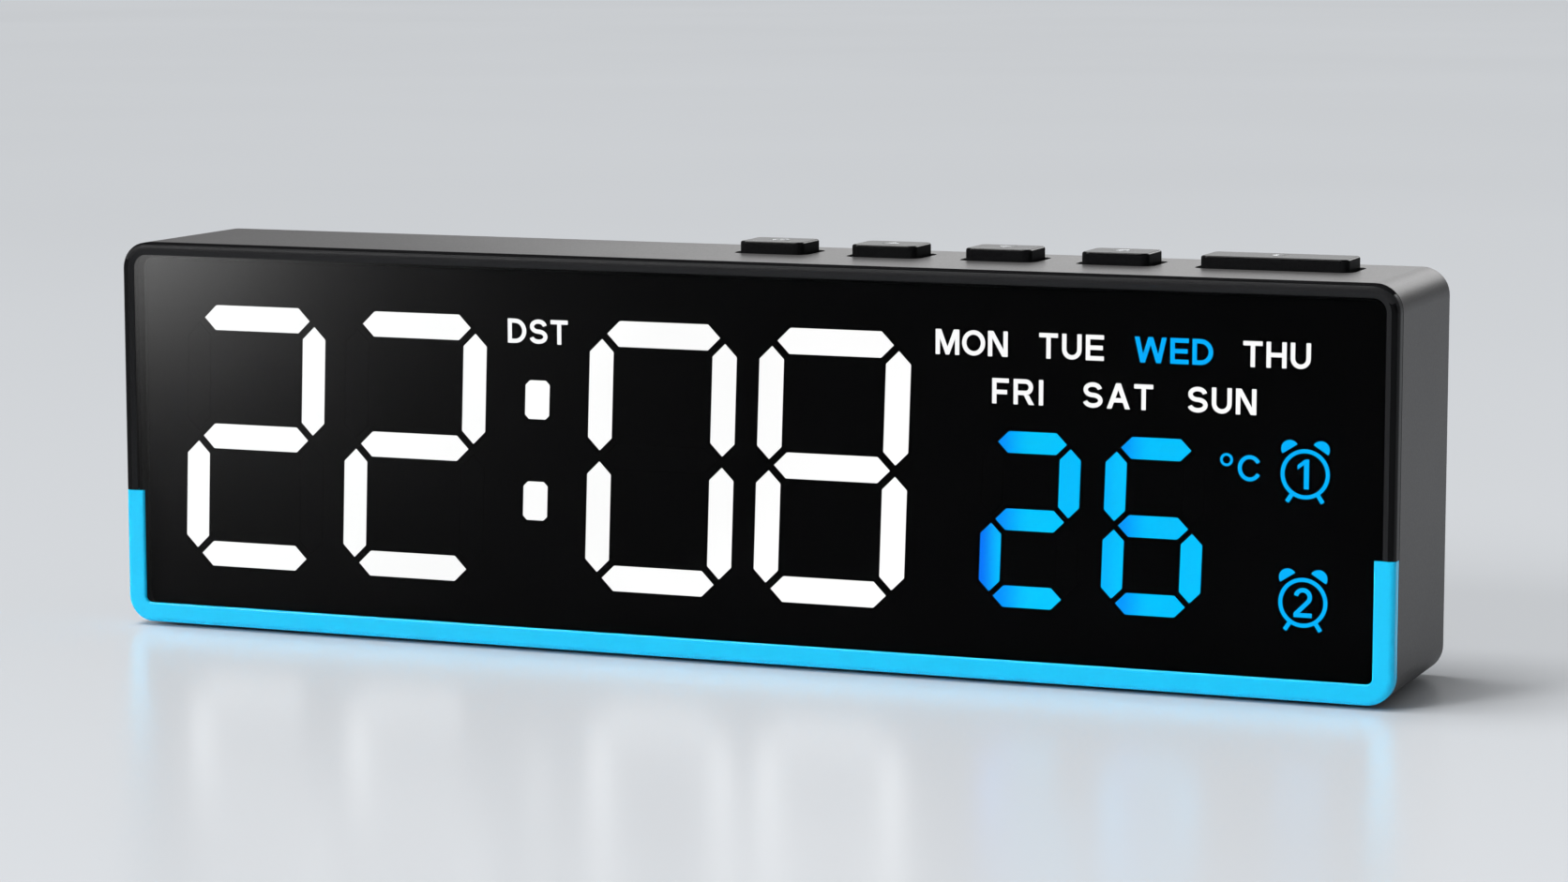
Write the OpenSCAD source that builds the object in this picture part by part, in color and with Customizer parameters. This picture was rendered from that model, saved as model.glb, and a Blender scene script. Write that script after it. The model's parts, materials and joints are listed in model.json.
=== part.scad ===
// Desk alarm clock: a slim case with a dark display window, a coloured lower trim and keys on its top.
// Millimetres. X runs along the width, Y from the front to the back and Z up.
// The origin lies on the ground under the middle of the case. A depth is counted from the front face.

/* [Case] */
// Width of the case
case_w = 170; // [160:1:200]
// Height of the case without its feet
case_h = 50; // [50:0.5:60]
// Depth from the face of the front frame to the back edge
case_d = 26; // [23.5:0.5:34]
// Radius of the four long corners
corner_r = 3.4; // [3:0.1:5]
// Thickness of the housing wall
wall = 2; // [1.8:0.1:2.2]
// Rounding of the housing's back edge
back_edge_r = 0.5; // [0.2:0.1:0.8]

/* [Front frame] */
// Depth of the frame, from its face to the seam with the housing
frame_d = 2; // [1.6:0.1:2.2]
// Width of the black bezel seen from the front
bezel_w = 1.6; // [1.5:0.1:2]
// Width of the coloured trim seen from the front
trim_w = 2.6; // [2:0.1:2.8]
// Height of the trim's arms above the base of the case
trim_h = 17.4; // [8:0.2:30]
// Rounding of the frame's outer edge
frame_r = 0.7; // [0.3:0.1:0.9]
// Width of the groove that the frame leaves at its seam with the housing
seam_w = 0.25; // [0.1:0.05:0.4]
// Depth of that groove
seam_d = 0.25; // [0.1:0.05:0.4]
// Width of the bevel along the bezel's inner edge
bevel_w = 0.65; // [0.3:0.05:0.8]
// Depth of that bevel
bevel_d = 0.3; // [0.1:0.05:0.35]
// Rounding of the trim's inner edge
trim_edge_r = 0.25; // [0.1:0.05:0.35]
// How far the window lies behind the face of the frame
lens_recess = 0.45; // [0.4:0.05:0.7]
// Thickness of the window
lens_t = 2; // [1.8:0.1:2.2]
// How far the bezel laps over the window's edge
lens_lap = 0.5; // [0.3:0.05:0.6]

/* [Time digits] */
// Height of a time digit
time_h = 34.3; // [28:0.1:36]
// Width of a time digit
time_w = 19.9; // [16:0.1:21]
// Thickness of its segments
time_seg = 3.2; // [2.4:0.1:3.8]
// Gap between its segments
time_gap = 1.04; // [0.6:0.02:1.4]
// Distance between two time digits
time_pitch = 23; // [21.5:0.1:24]
// Middle of the hour digits, from the middle of the case
hours_x = -55.55; // [-56:0.05:-54]
// Middle of the minute digits, from the middle of the case
minutes_x = 1.75; // [0:0.05:3]
// Height of the time digits' middle above the middle of the case
time_rise = -0.25; // [-1:0.05:1]
// Lean of every digit to the right, in degrees
lean = 1.8; // [0:0.1:4]

/* [Colon] */
// Middle of the colon, from the middle of the case
colon_x = -26.85; // [-28:0.05:-25]
// Width of a colon dot
colon_w = 3.3; // [2:0.1:4]
// Height of a colon dot
colon_h = 4.9; // [3:0.1:6]
// Distance between the two dots
colon_pitch = 12.95; // [8:0.05:16]
// Cut on the corners of a dot
colon_cut = 0.55; // [0.2:0.05:1]

/* [Temperature digits] */
// Height of a temperature digit
temp_h = 21.6; // [18:0.1:24]
// Width of a temperature digit
temp_w = 12.4; // [10:0.1:13]
// Thickness of its segments
temp_seg = 2.6; // [2:0.1:3]
// Gap between its segments
temp_gap = 0.8; // [0.5:0.05:1.2]
// Distance between the two temperature digits
temp_pitch = 15.6; // [14:0.1:16]
// Middle of the temperature digits, from the middle of the case
temp_x = 46.8; // [45:0.05:49]
// Height of their middle above the middle of the case
temp_rise = -5.45; // [-7:0.05:0]

/* [Display stack] */
// Thickness of the black mask
mask_t = 0.5; // [0.3:0.05:1]
// Air between the window and the mask
mask_gap = 0.2; // [0.1:0.05:0.3]
// Thickness of the diffuser in each segment
diffuser_t = 2.6; // [1.5:0.1:3]
// Depth of the reflector's light boxes
reflector_t = 3.8; // [3.2:0.1:6]
// Thickness of the circuit boards
board_t = 1.6; // [1.2:0.1:1.7]
// Height of a light-emitting diode
led_h = 0.7; // [0.4:0.1:0.9]

/* [Keys] */
// Width of a short key
key_w = 8.6; // [7:0.1:8.9]
// Width of the long snooze key
bar_w = 18.5; // [16:0.1:19.5]
// Depth of every key
key_d = 6.9; // [5.5:0.1:7.4]
// Distance between two short keys
key_pitch = 15.1; // [15:0.1:16]
// Gap between the last short key and the long one
bar_space = 6.55; // [6.4:0.05:8]
// Distance of the long key's end from the side of the case
bar_margin = 9.8; // [9.6:0.05:14]
// Distance of the keys' middle line from the back edge
key_setback = 8.6; // [8.2:0.1:9.5]
// How far a key stands out of the top
key_proud = 1.5; // [1:0.1:2.5]
// Travel of a key
key_travel = 0.7; // [0.3:0.05:0.8]
// Gap between a key and its opening
key_gap = 0.75; // [0.5:0.05:0.85]
// Corner radius of a key in plan
key_r = 1; // [0.5:0.1:1.5]
// Rounding of a key's top edge
key_edge_r = 0.3; // [0.15:0.05:0.5]

/* [Back] */
// Thickness of the rear cover
cover_t = 2; // [1.8:0.1:2.4]
// How far the rear cover lies inside the back edge
cover_recess = 0.4; // [0.3:0.05:0.6]
// Diameter of a battery cell
cell_d = 10.5; // [10:0.1:10.6]
// Length of a battery cell
cell_l = 44.5; // [42:0.1:46]
// Distance of the battery bay from the left side of the case
bay_margin = 22; // [14:0.5:26]
// Thickness of the battery door
door_t = 1.8; // [1.6:0.1:2]
// Diameter of the speaker
speaker_d = 28; // [24:0.5:30]
// Thickness of the speaker
speaker_t = 5.2; // [4.5:0.1:8]
// Distance between the speaker and the power socket
speaker_space = 34; // [32:0.5:36]
// Distance of the power socket from the right side of the case
socket_margin = 23; // [22:0.5:26]
// Height of the power socket's middle above the base of the case
socket_rise = 11.5; // [11:0.5:16]

/* [Feet] */
// How far the feet stand below the case
foot_h = 0.5; // [0.3:0.1:1.5]
// Length of a foot
foot_l = 14; // [8:0.5:20]
// Width of a foot
foot_w = 5; // [4:0.5:6]

/* [Hidden] */
$fn = 48;

// How far a cut runs past the face that it opens, and the flat left in the middle of a rounded end
past = 1;
end_flat = 0.05;

// Levels of the case
case_mid_z = foot_h + case_h / 2;
case_top_z = foot_h + case_h;

// Seats of the window and the rear cover
lens_fit = 0.1;
lens_inset = bezel_w - lens_lap;
lens_seat = lens_inset - lens_fit;
lens_far = lens_recess + lens_t;
frame_joint = 0.05;
cover_wall = 1.1;
cover_fit = 0.15;
cover_inset = cover_wall + cover_fit;
cover_far = case_d - cover_recess;
cover_near = cover_far - cover_t;

// Depths of the display stack
inner_fit = 0.2;
mask_near = lens_far + mask_gap;
mask_far = mask_near + mask_t;
reflector_far = mask_far + reflector_t;
board_far = reflector_far + board_t;
diffuser_far = mask_near + diffuser_t;
segment_fit = 0.06;
mask_w = case_w - 2 * (wall + inner_fit);
mask_h = case_h - 2 * (wall + inner_fit);
mask_r = 1.2;
board_fit = 0.6;
display_board_w = case_w - 2 * (wall + board_fit);
display_board_h = case_h - 2 * (wall + board_fit);

// Digit sizes as height, width, segment thickness and gap
time_size = [time_h, time_w, time_seg, time_gap];
temp_size = [temp_h, temp_w, temp_seg, temp_gap];
digit_places = [
    [[hours_x - time_pitch / 2, time_rise], time_size],
    [[hours_x + time_pitch / 2, time_rise], time_size],
    [[minutes_x - time_pitch / 2, time_rise], time_size],
    [[minutes_x + time_pitch / 2, time_rise], time_size],
    [[temp_x - temp_pitch / 2, temp_rise], temp_size],
    [[temp_x + temp_pitch / 2, temp_rise], temp_size]];
led_l = 2;
led_w = 1.2;

// Screws as head diameter, head height, shank diameter and shank length, with the shares of their heads
big_screw = [4.2, 1.1, 2, 8.6];
small_screw = [3.2, 0.9, 1.6, 5.4];
head_rim = 0.6;
head_top = 0.7;
cross_l = 0.6;
cross_w = 0.18;
cross_d = 0.6;
pilot_play = 0.1;
pilot_room = 0.2;
hole_play = 0.5;
boss_sink = 0.4;
cover_boss_d = 6;
cover_boss_l = 11;
cover_boss_inset = 8;
cover_boss_x = case_w / 2 - wall - cover_boss_d / 2 + boss_sink;
cover_screw_spots = [for (sx = [-1, 1], sz = [-1, 1])
    [sx * cover_boss_x, case_mid_z + sz * (case_h / 2 - cover_boss_inset)]];
counterbore_room = 0.1;
counterbore_play = 0.6;
counterbore_h = big_screw[1] + counterbore_room;
counterbore_d = big_screw[0] + counterbore_play;
display_boss_d = 4.6;
display_boss_l = 6;
display_boss_rise = 6;
display_boss_x = case_w / 2 - wall - display_boss_d / 2 + boss_sink;
display_screw_spots = [for (sx = [-1, 1], sz = [-1, 1])
    [sx * display_boss_x, case_mid_z + sz * display_boss_rise]];
reflector_w = 2 * (display_boss_x - small_screw[0] / 2 - inner_fit);

// Levels of the keys and their switches
key_depth = case_d - key_setback;
key_y = key_depth - case_d / 2;
key_ceiling = case_top_z - wall;
key_rest_gap = 0.1;
flange_t = 1;
flange_lap = 0.5;
flange_top = key_ceiling - key_rest_gap;
flange_base = flange_top - flange_t;
stem_d = 3.2;
stem_h = 0.7;
plunger_d = 3.4;
plunger_top = flange_base - stem_h;
plunger_out = 1;
plunger_in = 1.4;
plunger_fit = 0.1;
switch_w = 6;
switch_h = 2.6;
switch_top = plunger_top - plunger_out;
button_board_top = switch_top - switch_h;
button_board_base = button_board_top - board_t;
button_board_d = 9;
guide_pin_d = 1.8;
guide_pin_space = 5.6;
guide_pin_end = 0.8;
guide_hole_play = 0.6;
post_d = 3.4;

// Places of the keys along the case
bar_x = case_w / 2 - bar_margin - bar_w / 2;
last_key_x = bar_x - bar_w / 2 - bar_space - key_w / 2;
key_xs = [for (i = [3:-1:0]) last_key_x - i * key_pitch];
all_key_xs = concat(key_xs, [bar_x]);
post_xs = [(key_xs[0] + key_xs[1]) / 2, (key_xs[2] + key_xs[3]) / 2, bar_x - (bar_w + bar_space) / 2];
ribbon_x = (key_xs[1] + key_xs[2]) / 2;
button_board_left = key_xs[0] - switch_w;
button_board_right = bar_x + bar_w / 2;

// Battery bay and door
cell_room = 0.3;
cell_count = 3;
cell_pitch = cell_d + cell_room;
bay_wall = 1.4;
bay_floor_t = 1.2;
plate_t = 0.4;
plate_w = 8.4;
spring_free_l = 6;
spring_play = 0.5;
bay_l = cell_l + spring_free_l + spring_play + 2 * plate_t;
bay_h = cell_count * cell_pitch;
bay_left = -case_w / 2 + bay_margin;
bay_mid_x = bay_left + bay_l / 2;
bay_base_rise = 6.4;
bay_base_z = foot_h + bay_base_rise;
bay_mid_z = bay_base_z + bay_h / 2;
door_near = cover_far - door_t;
bay_floor_far = door_near - cell_d - 2 * cell_room;
bay_floor_near = bay_floor_far - bay_floor_t;
door_fit = 0.25;
door_base_z = bay_base_z - bay_wall + door_fit;
door_top_z = bay_base_z + bay_h + bay_wall - door_fit;
door_l = bay_l + 2 * (bay_wall - door_fit);
tab_w = 7;
tab_t = 0.8;
tab_reach = 4;
tab_space = 30;
tab_side_play = 0.3;
finger_w = 13;
finger_h = 1.6;
finger_shelf = 1.2;
ridge_h = 0.25;
ridge_w = 0.7;
ridge_pitch = 1.6;
ridge_count = 4;

// Battery contacts
spring_r = 3.8;
spring_tip_r = 2.2;
spring_wire = 0.7;
spring_curls = 4;
spring_rings = 8;
spring_sides = 6;
lead_d = 1;
lead_slot = 1.5;

// Speaker and its grille
socket_x = case_w / 2 - socket_margin;
speaker_x = socket_x - speaker_space;
speaker_drop = 1.5;
speaker_z = case_mid_z - speaker_drop;
speaker_fit = 0.2;
speaker_ring_t = 1.3;
speaker_ring_h = 3;
speaker_flange_t = 1.2;
speaker_flange_w = 1.6;
speaker_cone_w = 2;
magnet_d = 16;
magnet_t = 2.2;
dome_d = 8;
dome_dip = 0.4;
cone_dip = 1;
roll_dip = 0.3;
basket_step = 1;
grille_d = 21;
grille_pitch = 2.8;
grille_slot = 1.4;

// Power inlet
socket_w = 8.94;
socket_h = 3.2;
socket_r = 1.55;
socket_l = 7.4;
socket_skin = 0.3;
socket_setback = 0.6;
socket_fit = 0.25;
tongue_w = 6.7;
tongue_t = 0.7;
tongue_setback = 0.9;
socket_z = foot_h + socket_rise;
power_board_top = socket_z - socket_h / 2;
power_board_w = 22;
power_board_l = 11;
power_board_t = 1.2;
power_board_play = 0.2;
power_board_far = cover_near - power_board_play;
guide_rail_w = 2.4;
guide_rail_h = 4.4;
guide_groove = 1;
guide_fit = 0.1;
sensor_space = 8;
sensor_setback = 3.5;
sensor_x = socket_x - sensor_space;
sensor_depth = power_board_far - sensor_setback;
sensor_d = 2.6;
sensor_leg_d = 0.5;
sensor_leg_h = 4;
sensor_leg_space = 1.2;
vent_w = 1;
vent_h = 6;
vent_pitch = 2.4;
vent_count = 3;

// Flat cables
ribbon_t = 0.5;
ribbon_w = 8;
ribbon_bend = 1.2;
ribbon_lap = 3;
ribbon_drop = 4;

// Feet
foot_sink = 0.6;
foot_fit = 0.1;
foot_side_inset = 20;
foot_edge_inset = 5.5;
foot_r = foot_w / 2 - end_flat;

// Stands a drawing of the front upright: its x stays, its y becomes the height, its z faces the viewer
module facing() {
    rotate([90, 0, 0])
        children();
}

// Slab of a front drawing between two depths
module slab(near, far) {
    translate([0, 0, case_d / 2 - far])
        linear_extrude(far - near)
            children();
}

// Round rod along the depth
module rod(spot, d, near, far) {
    translate([spot[0], spot[1], case_d / 2 - far])
        cylinder(d = d, h = far - near);
}

module rounded_rect(w, h, r) {
    square([w, h - 2 * r], center = true);
    square([w - 2 * r, h], center = true);
    for (sx = [-1, 1], sy = [-1, 1])
        translate([sx * (w / 2 - r), sy * (h / 2 - r)])
            circle(r);
}

// What a rounding takes off a corner at the origin whose solid lies towards +x and +y
module corner_cut(r) {
    difference() {
        translate([-past, -past])
            square(r + past);
        translate([r, r])
            circle(r);
    }
}

// Takes a profile drawn as inset from the side against depth to the place where the outline sweeps it
module edge_profile() {
    translate([corner_r, case_d / 2])
        rotate(180)
            children();
}

// Ring along the outline of the case
module outline_ring() {
    translate([0, case_mid_z, 0])
        for (side = [0:3]) {
            run = (side % 2 == 0 ? case_w : case_h) - 2 * corner_r;
            reach = (side % 2 == 0 ? case_h : case_w) / 2 - corner_r;
            rotate(90 * side) {
                translate([-run / 2, reach, 0])
                    rotate([90, 0, 90])
                        linear_extrude(run)
                            edge_profile()
                                children();
                translate([run / 2, reach, 0])
                    rotate_extrude(angle = 90)
                        edge_profile()
                            children();
            }
        }
}

// Block with rounded corners in plan and a rounded top edge, standing on z = 0
module soft_block(w, d, h, r, edge) {
    module side(length) {
        difference() {
            translate([-length / 2, 0])
                square([length, h]);
            for (turn = [0, 1])
                mirror([turn, 0])
                    translate([length / 2, h])
                        rotate(180)
                            corner_cut(edge);
        }
    }
    translate([-(w - 2 * r) / 2, 0, 0])
        rotate([90, 0, 90])
            linear_extrude(w - 2 * r)
                side(d);
    translate([0, (d - 2 * r) / 2, 0])
        rotate([90, 0, 0])
            linear_extrude(d - 2 * r)
                side(w);
    for (sx = [-1, 1], sy = [-1, 1])
        translate([sx * (w / 2 - r), sy * (d / 2 - r), 0])
            rotate_extrude()
                difference() {
                    square([r, h]);
                    translate([r, h])
                        rotate(180)
                            corner_cut(edge);
                }
}

// Screw with its head's seat at z = 0, the shank pointing down and a cross in the head
module screw(size) {
    rim_h = size[1] * head_rim;
    slot = [size[0] * cross_l, size[0] * cross_w, size[1] * cross_d];
    difference() {
        union() {
            cylinder(d = size[0], h = rim_h);
            translate([0, 0, rim_h])
                cylinder(d1 = size[0], d2 = size[0] * head_top, h = size[1] - rim_h);
            translate([0, 0, -size[3]])
                cylinder(d = size[2], h = size[3]);
        }
        for (turn = [0, 90])
            rotate(turn)
                translate([-slot[0] / 2, -slot[1] / 2, size[1] - slot[2]])
                    cube(slot + [0, 0, past]);
    }
}

// Insulated wire through a few points, with round joints
module lead(points) {
    for (i = [0:len(points) - 2]) {
        step = points[i + 1] - points[i];
        translate(points[i])
            rotate([0, atan2(norm([step[0], step[1]]), step[2]), atan2(step[1], step[0])])
                cylinder(d = lead_d, h = norm(step), $fn = 24);
    }
    for (i = [1:1:len(points) - 2])
        translate(points[i])
            sphere(d = lead_d, $fn = 24);
}

// Point of a front drawing at a depth, in the frame of facing()
function at_depth(x, z, depth) = [x, z, case_d / 2 - depth];

// Front frame
module bezel_profile() {
    difference() {
        polygon([[0, 0], [bezel_w - bevel_w, 0], [bezel_w, bevel_d], [bezel_w, lens_recess],
            [lens_seat, lens_recess], [lens_seat, frame_d], [seam_d, frame_d], [0, frame_d - seam_w]]);
        corner_cut(frame_r);
    }
}

module trim_profile() {
    difference() {
        polygon([[0, 0], [trim_w, 0], [trim_w, lens_recess], [lens_seat, lens_recess],
            [lens_seat, frame_d], [seam_d, frame_d], [0, frame_d - seam_w]]);
        corner_cut(frame_r);
        translate([trim_w, 0])
            mirror([1, 0])
                corner_cut(trim_edge_r);
    }
}

// Everything up to a height above the base of the case, as deep as the frame
module below(height) {
    translate([-case_w / 2 - past, foot_h - past, case_d / 2 - frame_d - past])
        cube([case_w + 2 * past, height + past, frame_d + 2 * past]);
}

module front_bezel() {
    color("#101113")
        facing()
            difference() {
                outline_ring()
                    bezel_profile();
                below(trim_h + frame_joint);
            }
}

module accent_trim() {
    color("#29c6ff")
        facing()
            intersection() {
                outline_ring()
                    trim_profile();
                below(trim_h);
            }
}

module front_lens() {
    color("#0a0a0c")
        facing()
            slab(lens_recess, lens_far)
                translate([0, case_mid_z])
                    rounded_rect(case_w - 2 * lens_inset, case_h - 2 * lens_inset, corner_r - lens_inset);
}

// Housing
module housing_profile() {
    difference() {
        polygon([[0, frame_d], [0, case_d], [cover_wall, case_d], [cover_wall, cover_near],
            [wall, cover_near], [wall, lens_far], [lens_seat, lens_far], [lens_seat, frame_d]]);
        translate([0, case_d])
            mirror([0, 1])
                corner_cut(back_edge_r);
    }
}

module key_opening(x, w) {
    translate([x, key_y, key_ceiling - past])
        linear_extrude(wall + 2 * past)
            rounded_rect(w + 2 * key_gap, key_d + 2 * key_gap, key_r + key_gap);
}

module foot_places() {
    for (sx = [-1, 1], sy = [-1, 1])
        translate([sx * (case_w / 2 - foot_side_inset), sy * (case_d / 2 - foot_edge_inset), 0])
            children();
}

module housing() {
    color("#4a4b4d")
        difference() {
            union() {
                facing() {
                    outline_ring()
                        housing_profile();
                    for (spot = cover_screw_spots)
                        rod(spot, cover_boss_d, cover_near - cover_boss_l, cover_near);
                    for (spot = display_screw_spots)
                        rod(spot, display_boss_d, board_far, board_far + display_boss_l);
                }
                for (x = post_xs)
                    translate([x, key_y, button_board_top])
                        cylinder(d = post_d, h = key_ceiling - button_board_top + boss_sink);
            }
            facing() {
                for (spot = cover_screw_spots)
                    rod(spot, big_screw[2] + pilot_play, cover_near - big_screw[3] - pilot_room,
                        cover_near + past);
                for (spot = display_screw_spots)
                    rod(spot, small_screw[2] + pilot_play, board_far - past, board_far + small_screw[3]);
            }
            for (x = post_xs)
                translate([x, key_y, button_board_top - past])
                    cylinder(d = small_screw[2] + pilot_play,
                        h = small_screw[3] - board_t + pilot_room + past);
            for (x = key_xs)
                key_opening(x, key_w);
            key_opening(bar_x, bar_w);
            foot_places()
                linear_extrude(foot_h + foot_sink)
                    rounded_rect(foot_l + 2 * foot_fit, foot_w + 2 * foot_fit, foot_r + foot_fit);
        }
}

module rubber_feet() {
    color("#1c1c1e")
        foot_places()
            linear_extrude(foot_h + foot_sink)
                rounded_rect(foot_l, foot_w, foot_r);
}

// Digit segments: hexagons with pointed ends, drawn round the middle of the digit and leaning right
function leaning(p) = [p[0] + p[1] * tan(lean), p[1]];
function half_w(size) = (size[1] - size[2]) / 2;
function half_h(size) = (size[0] - size[2]) / 2;
function end_cut(gap) = gap / sqrt(2);

// Middle of each segment and whether it stands upright
function segment_places(size) = concat(
    [for (row = [-1:1]) [[0, row * half_h(size)], false]],
    [for (sx = [-1, 1], sz = [-1, 1]) [[sx * half_w(size), sz * half_h(size) / 2], true]]);

function segment_length(size, upright, gap) =
    (upright ? half_h(size) : 2 * half_w(size)) - 2 * end_cut(gap);

function segment_points(size, place, fit) =
    let (a = segment_length(size, place[1], size[3] - 2 * fit) / 2,
        b = size[2] / 2 + fit,
        flat = [[-a, 0], [b - a, -b], [a - b, -b], [a, 0], [a - b, b], [b - a, b]])
    [for (p = flat) leaning(place[0] + (place[1] ? [-p[1], p[0]] : p))];

module digit_outline(i, fit = 0) {
    size = digit_places[i][1];
    translate([digit_places[i][0][0], case_mid_z + digit_places[i][0][1]])
        for (place = segment_places(size))
            polygon(segment_points(size, place, fit));
}

module colon_outline(fit = 0) {
    a = colon_w / 2 + fit;
    b = colon_h / 2 + fit;
    dot = [[-a, -b + colon_cut], [-a + colon_cut, -b], [a - colon_cut, -b], [a, -b + colon_cut],
        [a, b - colon_cut], [a - colon_cut, b], [-a + colon_cut, b], [-a, b - colon_cut]];
    translate([colon_x, case_mid_z])
        for (row = [-1, 1])
            polygon([for (p = dot) leaning(p + [0, row * colon_pitch / 2])]);
}

module digit(i) {
    facing()
        slab(mask_near, diffuser_far)
            digit_outline(i);
}

module time_digit(i) {
    color("#f4f6f8")
        digit(i);
}

module temperature_digit(i) {
    color("#0aa5ff")
        digit(i);
}

module colon_dots() {
    color("#f4f6f8")
        facing()
            slab(mask_near, diffuser_far)
                colon_outline();
}

module segment_openings() {
    for (i = [0:len(digit_places) - 1])
        digit_outline(i, segment_fit);
    colon_outline(segment_fit);
}

module display_mask() {
    color("#0b0b0d")
        facing()
            slab(mask_near, mask_far)
                difference() {
                    translate([0, case_mid_z])
                        rounded_rect(mask_w, mask_h, mask_r);
                    segment_openings();
                }
}

module display_reflector() {
    color("#e9e9e6")
        facing()
            slab(mask_far, reflector_far)
                difference() {
                    translate([0, case_mid_z])
                        square([reflector_w, display_board_h], center = true);
                    segment_openings();
                }
}

module display_board() {
    color("#1d5b38")
        facing()
            difference() {
                slab(reflector_far, board_far)
                    translate([0, case_mid_z])
                        rounded_rect(display_board_w, display_board_h, mask_r);
                for (spot = display_screw_spots)
                    rod(spot, small_screw[2] + hole_play, reflector_far - past, board_far + past);
            }
}

// Diodes: two under each time segment, one under each temperature segment and each colon dot
module diode(spot, upright) {
    translate(spot)
        square(upright ? [led_w, led_l] : [led_l, led_w], center = true);
}

module segment_leds() {
    color("#f7e9a0")
        facing()
            slab(reflector_far - led_h, reflector_far) {
                for (i = [0:len(digit_places) - 1]) {
                    size = digit_places[i][1];
                    middle = digit_places[i][0] + [0, case_mid_z];
                    for (place = segment_places(size)) {
                        spread = size == time_size ? segment_length(size, place[1], size[3]) / 4 : 0;
                        for (end = spread > 0 ? [-spread, spread] : [0])
                            diode(middle + leaning(place[0] + (place[1] ? [0, end] : [end, 0])), place[1]);
                    }
                }
                for (row = [-1, 1])
                    diode([colon_x, case_mid_z] + leaning([0, row * colon_pitch / 2]), true);
            }
}

module display_screws() {
    color("#b9bcc0")
        facing()
            for (spot = display_screw_spots)
                translate(at_depth(spot[0], spot[1], reflector_far))
                    screw(small_screw);
}

// Controller: a flat package with a row of bent leads along each long side
module controller_chip() {
    body_l = 18;
    body_w = 7.6;
    body_h = 2.2;
    stand_off = 0.15;
    pin_pitch = 1.27;
    pin_count = 14;
    pin_w = 0.45;
    pin_t = 0.25;
    pin_foot = 0.9;
    color("#222326")
        facing()
            translate(at_depth(speaker_x, speaker_z, board_far))
                mirror([0, 0, 1]) {
                    translate([-body_l / 2, -body_w / 2, stand_off])
                        cube([body_l, body_w, body_h]);
                    for (i = [0:pin_count - 1], turn = [0, 180])
                        rotate(turn)
                            translate([(i - (pin_count - 1) / 2) * pin_pitch - pin_w / 2, body_w / 2, 0]) {
                                cube([pin_w, pin_t + pin_foot, pin_t]);
                                cube([pin_w, pin_t, body_h / 2 + stand_off]);
                            }
                }
}

// Quartz can lying on the board with its two legs bent down
module clock_crystal() {
    can_d = 2;
    can_l = 6;
    leg_t = 0.4;
    leg_l = 1.6;
    leg_space = 0.7;
    chip_space = 16;
    chip_drop = 8;
    color("#c4c6c9")
        facing()
            translate(at_depth(speaker_x - chip_space, speaker_z - chip_drop, board_far))
                mirror([0, 0, 1]) {
                    translate([0, 0, can_d / 2])
                        rotate([90, 0, 0])
                            cylinder(d = can_d, h = can_l);
                    for (sx = [-1, 1])
                        translate([sx * leg_space / 2 - leg_t / 2, 0, 0]) {
                            translate([0, 0, can_d / 2 - leg_t / 2])
                                cube([leg_t, leg_l, leg_t]);
                            translate([0, leg_l - leg_t, 0])
                                cube([leg_t, leg_t, can_d / 2]);
                        }
                }
}

// Keys, each with its stop flange and stem
module key(x, w) {
    translate([x, key_y, 0]) {
        translate([0, 0, flange_top])
            soft_block(w, key_d, case_top_z + key_proud - flange_top, key_r, key_edge_r);
        translate([0, 0, flange_base])
            linear_extrude(flange_t)
                rounded_rect(w + 2 * (key_gap + flange_lap), key_d + 2 * (key_gap + flange_lap), key_r);
        translate([0, 0, plunger_top])
            cylinder(d = stem_d, h = stem_h);
    }
}

module short_key(i) {
    color("#131416")
        key(key_xs[i], key_w);
}

// The long key also has two pins that slide in the board and keep it level
module snooze_bar() {
    pin_base = button_board_base - guide_pin_end;
    color("#131416") {
        key(bar_x, bar_w);
        for (sx = [-1, 1])
            translate([bar_x + sx * guide_pin_space, key_y, pin_base])
                cylinder(d = guide_pin_d, h = flange_base - pin_base);
    }
}

module plunger(i) {
    color("#d9d6cc")
        translate([all_key_xs[i], key_y, switch_top - plunger_in])
            cylinder(d = plunger_d, h = plunger_in + plunger_out);
}

// Switch body with a well for its plunger and four soldered tabs
module switch_bodies() {
    tab_l = 0.9;
    tab_h = 0.2;
    tab_offset = 2;
    well_d = plunger_d + 2 * plunger_fit;
    well_h = plunger_in + key_travel + plunger_fit;
    color("#3b3d40")
        for (x = all_key_xs)
            translate([x, key_y, button_board_top])
                difference() {
                    union() {
                        translate([-switch_w / 2, -switch_w / 2, 0])
                            cube([switch_w, switch_w, switch_h]);
                        for (sx = [-1, 1], sy = [-1, 1])
                            translate([sx * (switch_w + tab_l) / 2, sy * tab_offset, tab_h / 2])
                                cube([tab_l, tab_l, tab_h], center = true);
                    }
                    translate([0, 0, switch_h - well_h])
                        cylinder(d = well_d, h = well_h + past);
                }
}

module button_board() {
    color("#1d5b38")
        translate([0, key_y, 0])
            difference() {
                translate([button_board_left, -button_board_d / 2, button_board_base])
                    cube([button_board_right - button_board_left, button_board_d, board_t]);
                for (x = post_xs)
                    translate([x, 0, button_board_base - past])
                        cylinder(d = small_screw[2] + hole_play, h = board_t + 2 * past);
                for (sx = [-1, 1])
                    translate([bar_x + sx * guide_pin_space, 0, button_board_base - past])
                        cylinder(d = guide_pin_d + guide_hole_play, h = board_t + 2 * past);
            }
}

module board_screws() {
    color("#b9bcc0")
        for (x = post_xs)
            translate([x, key_y, button_board_base])
                mirror([0, 0, 1])
                    screw(small_screw);
}

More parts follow.
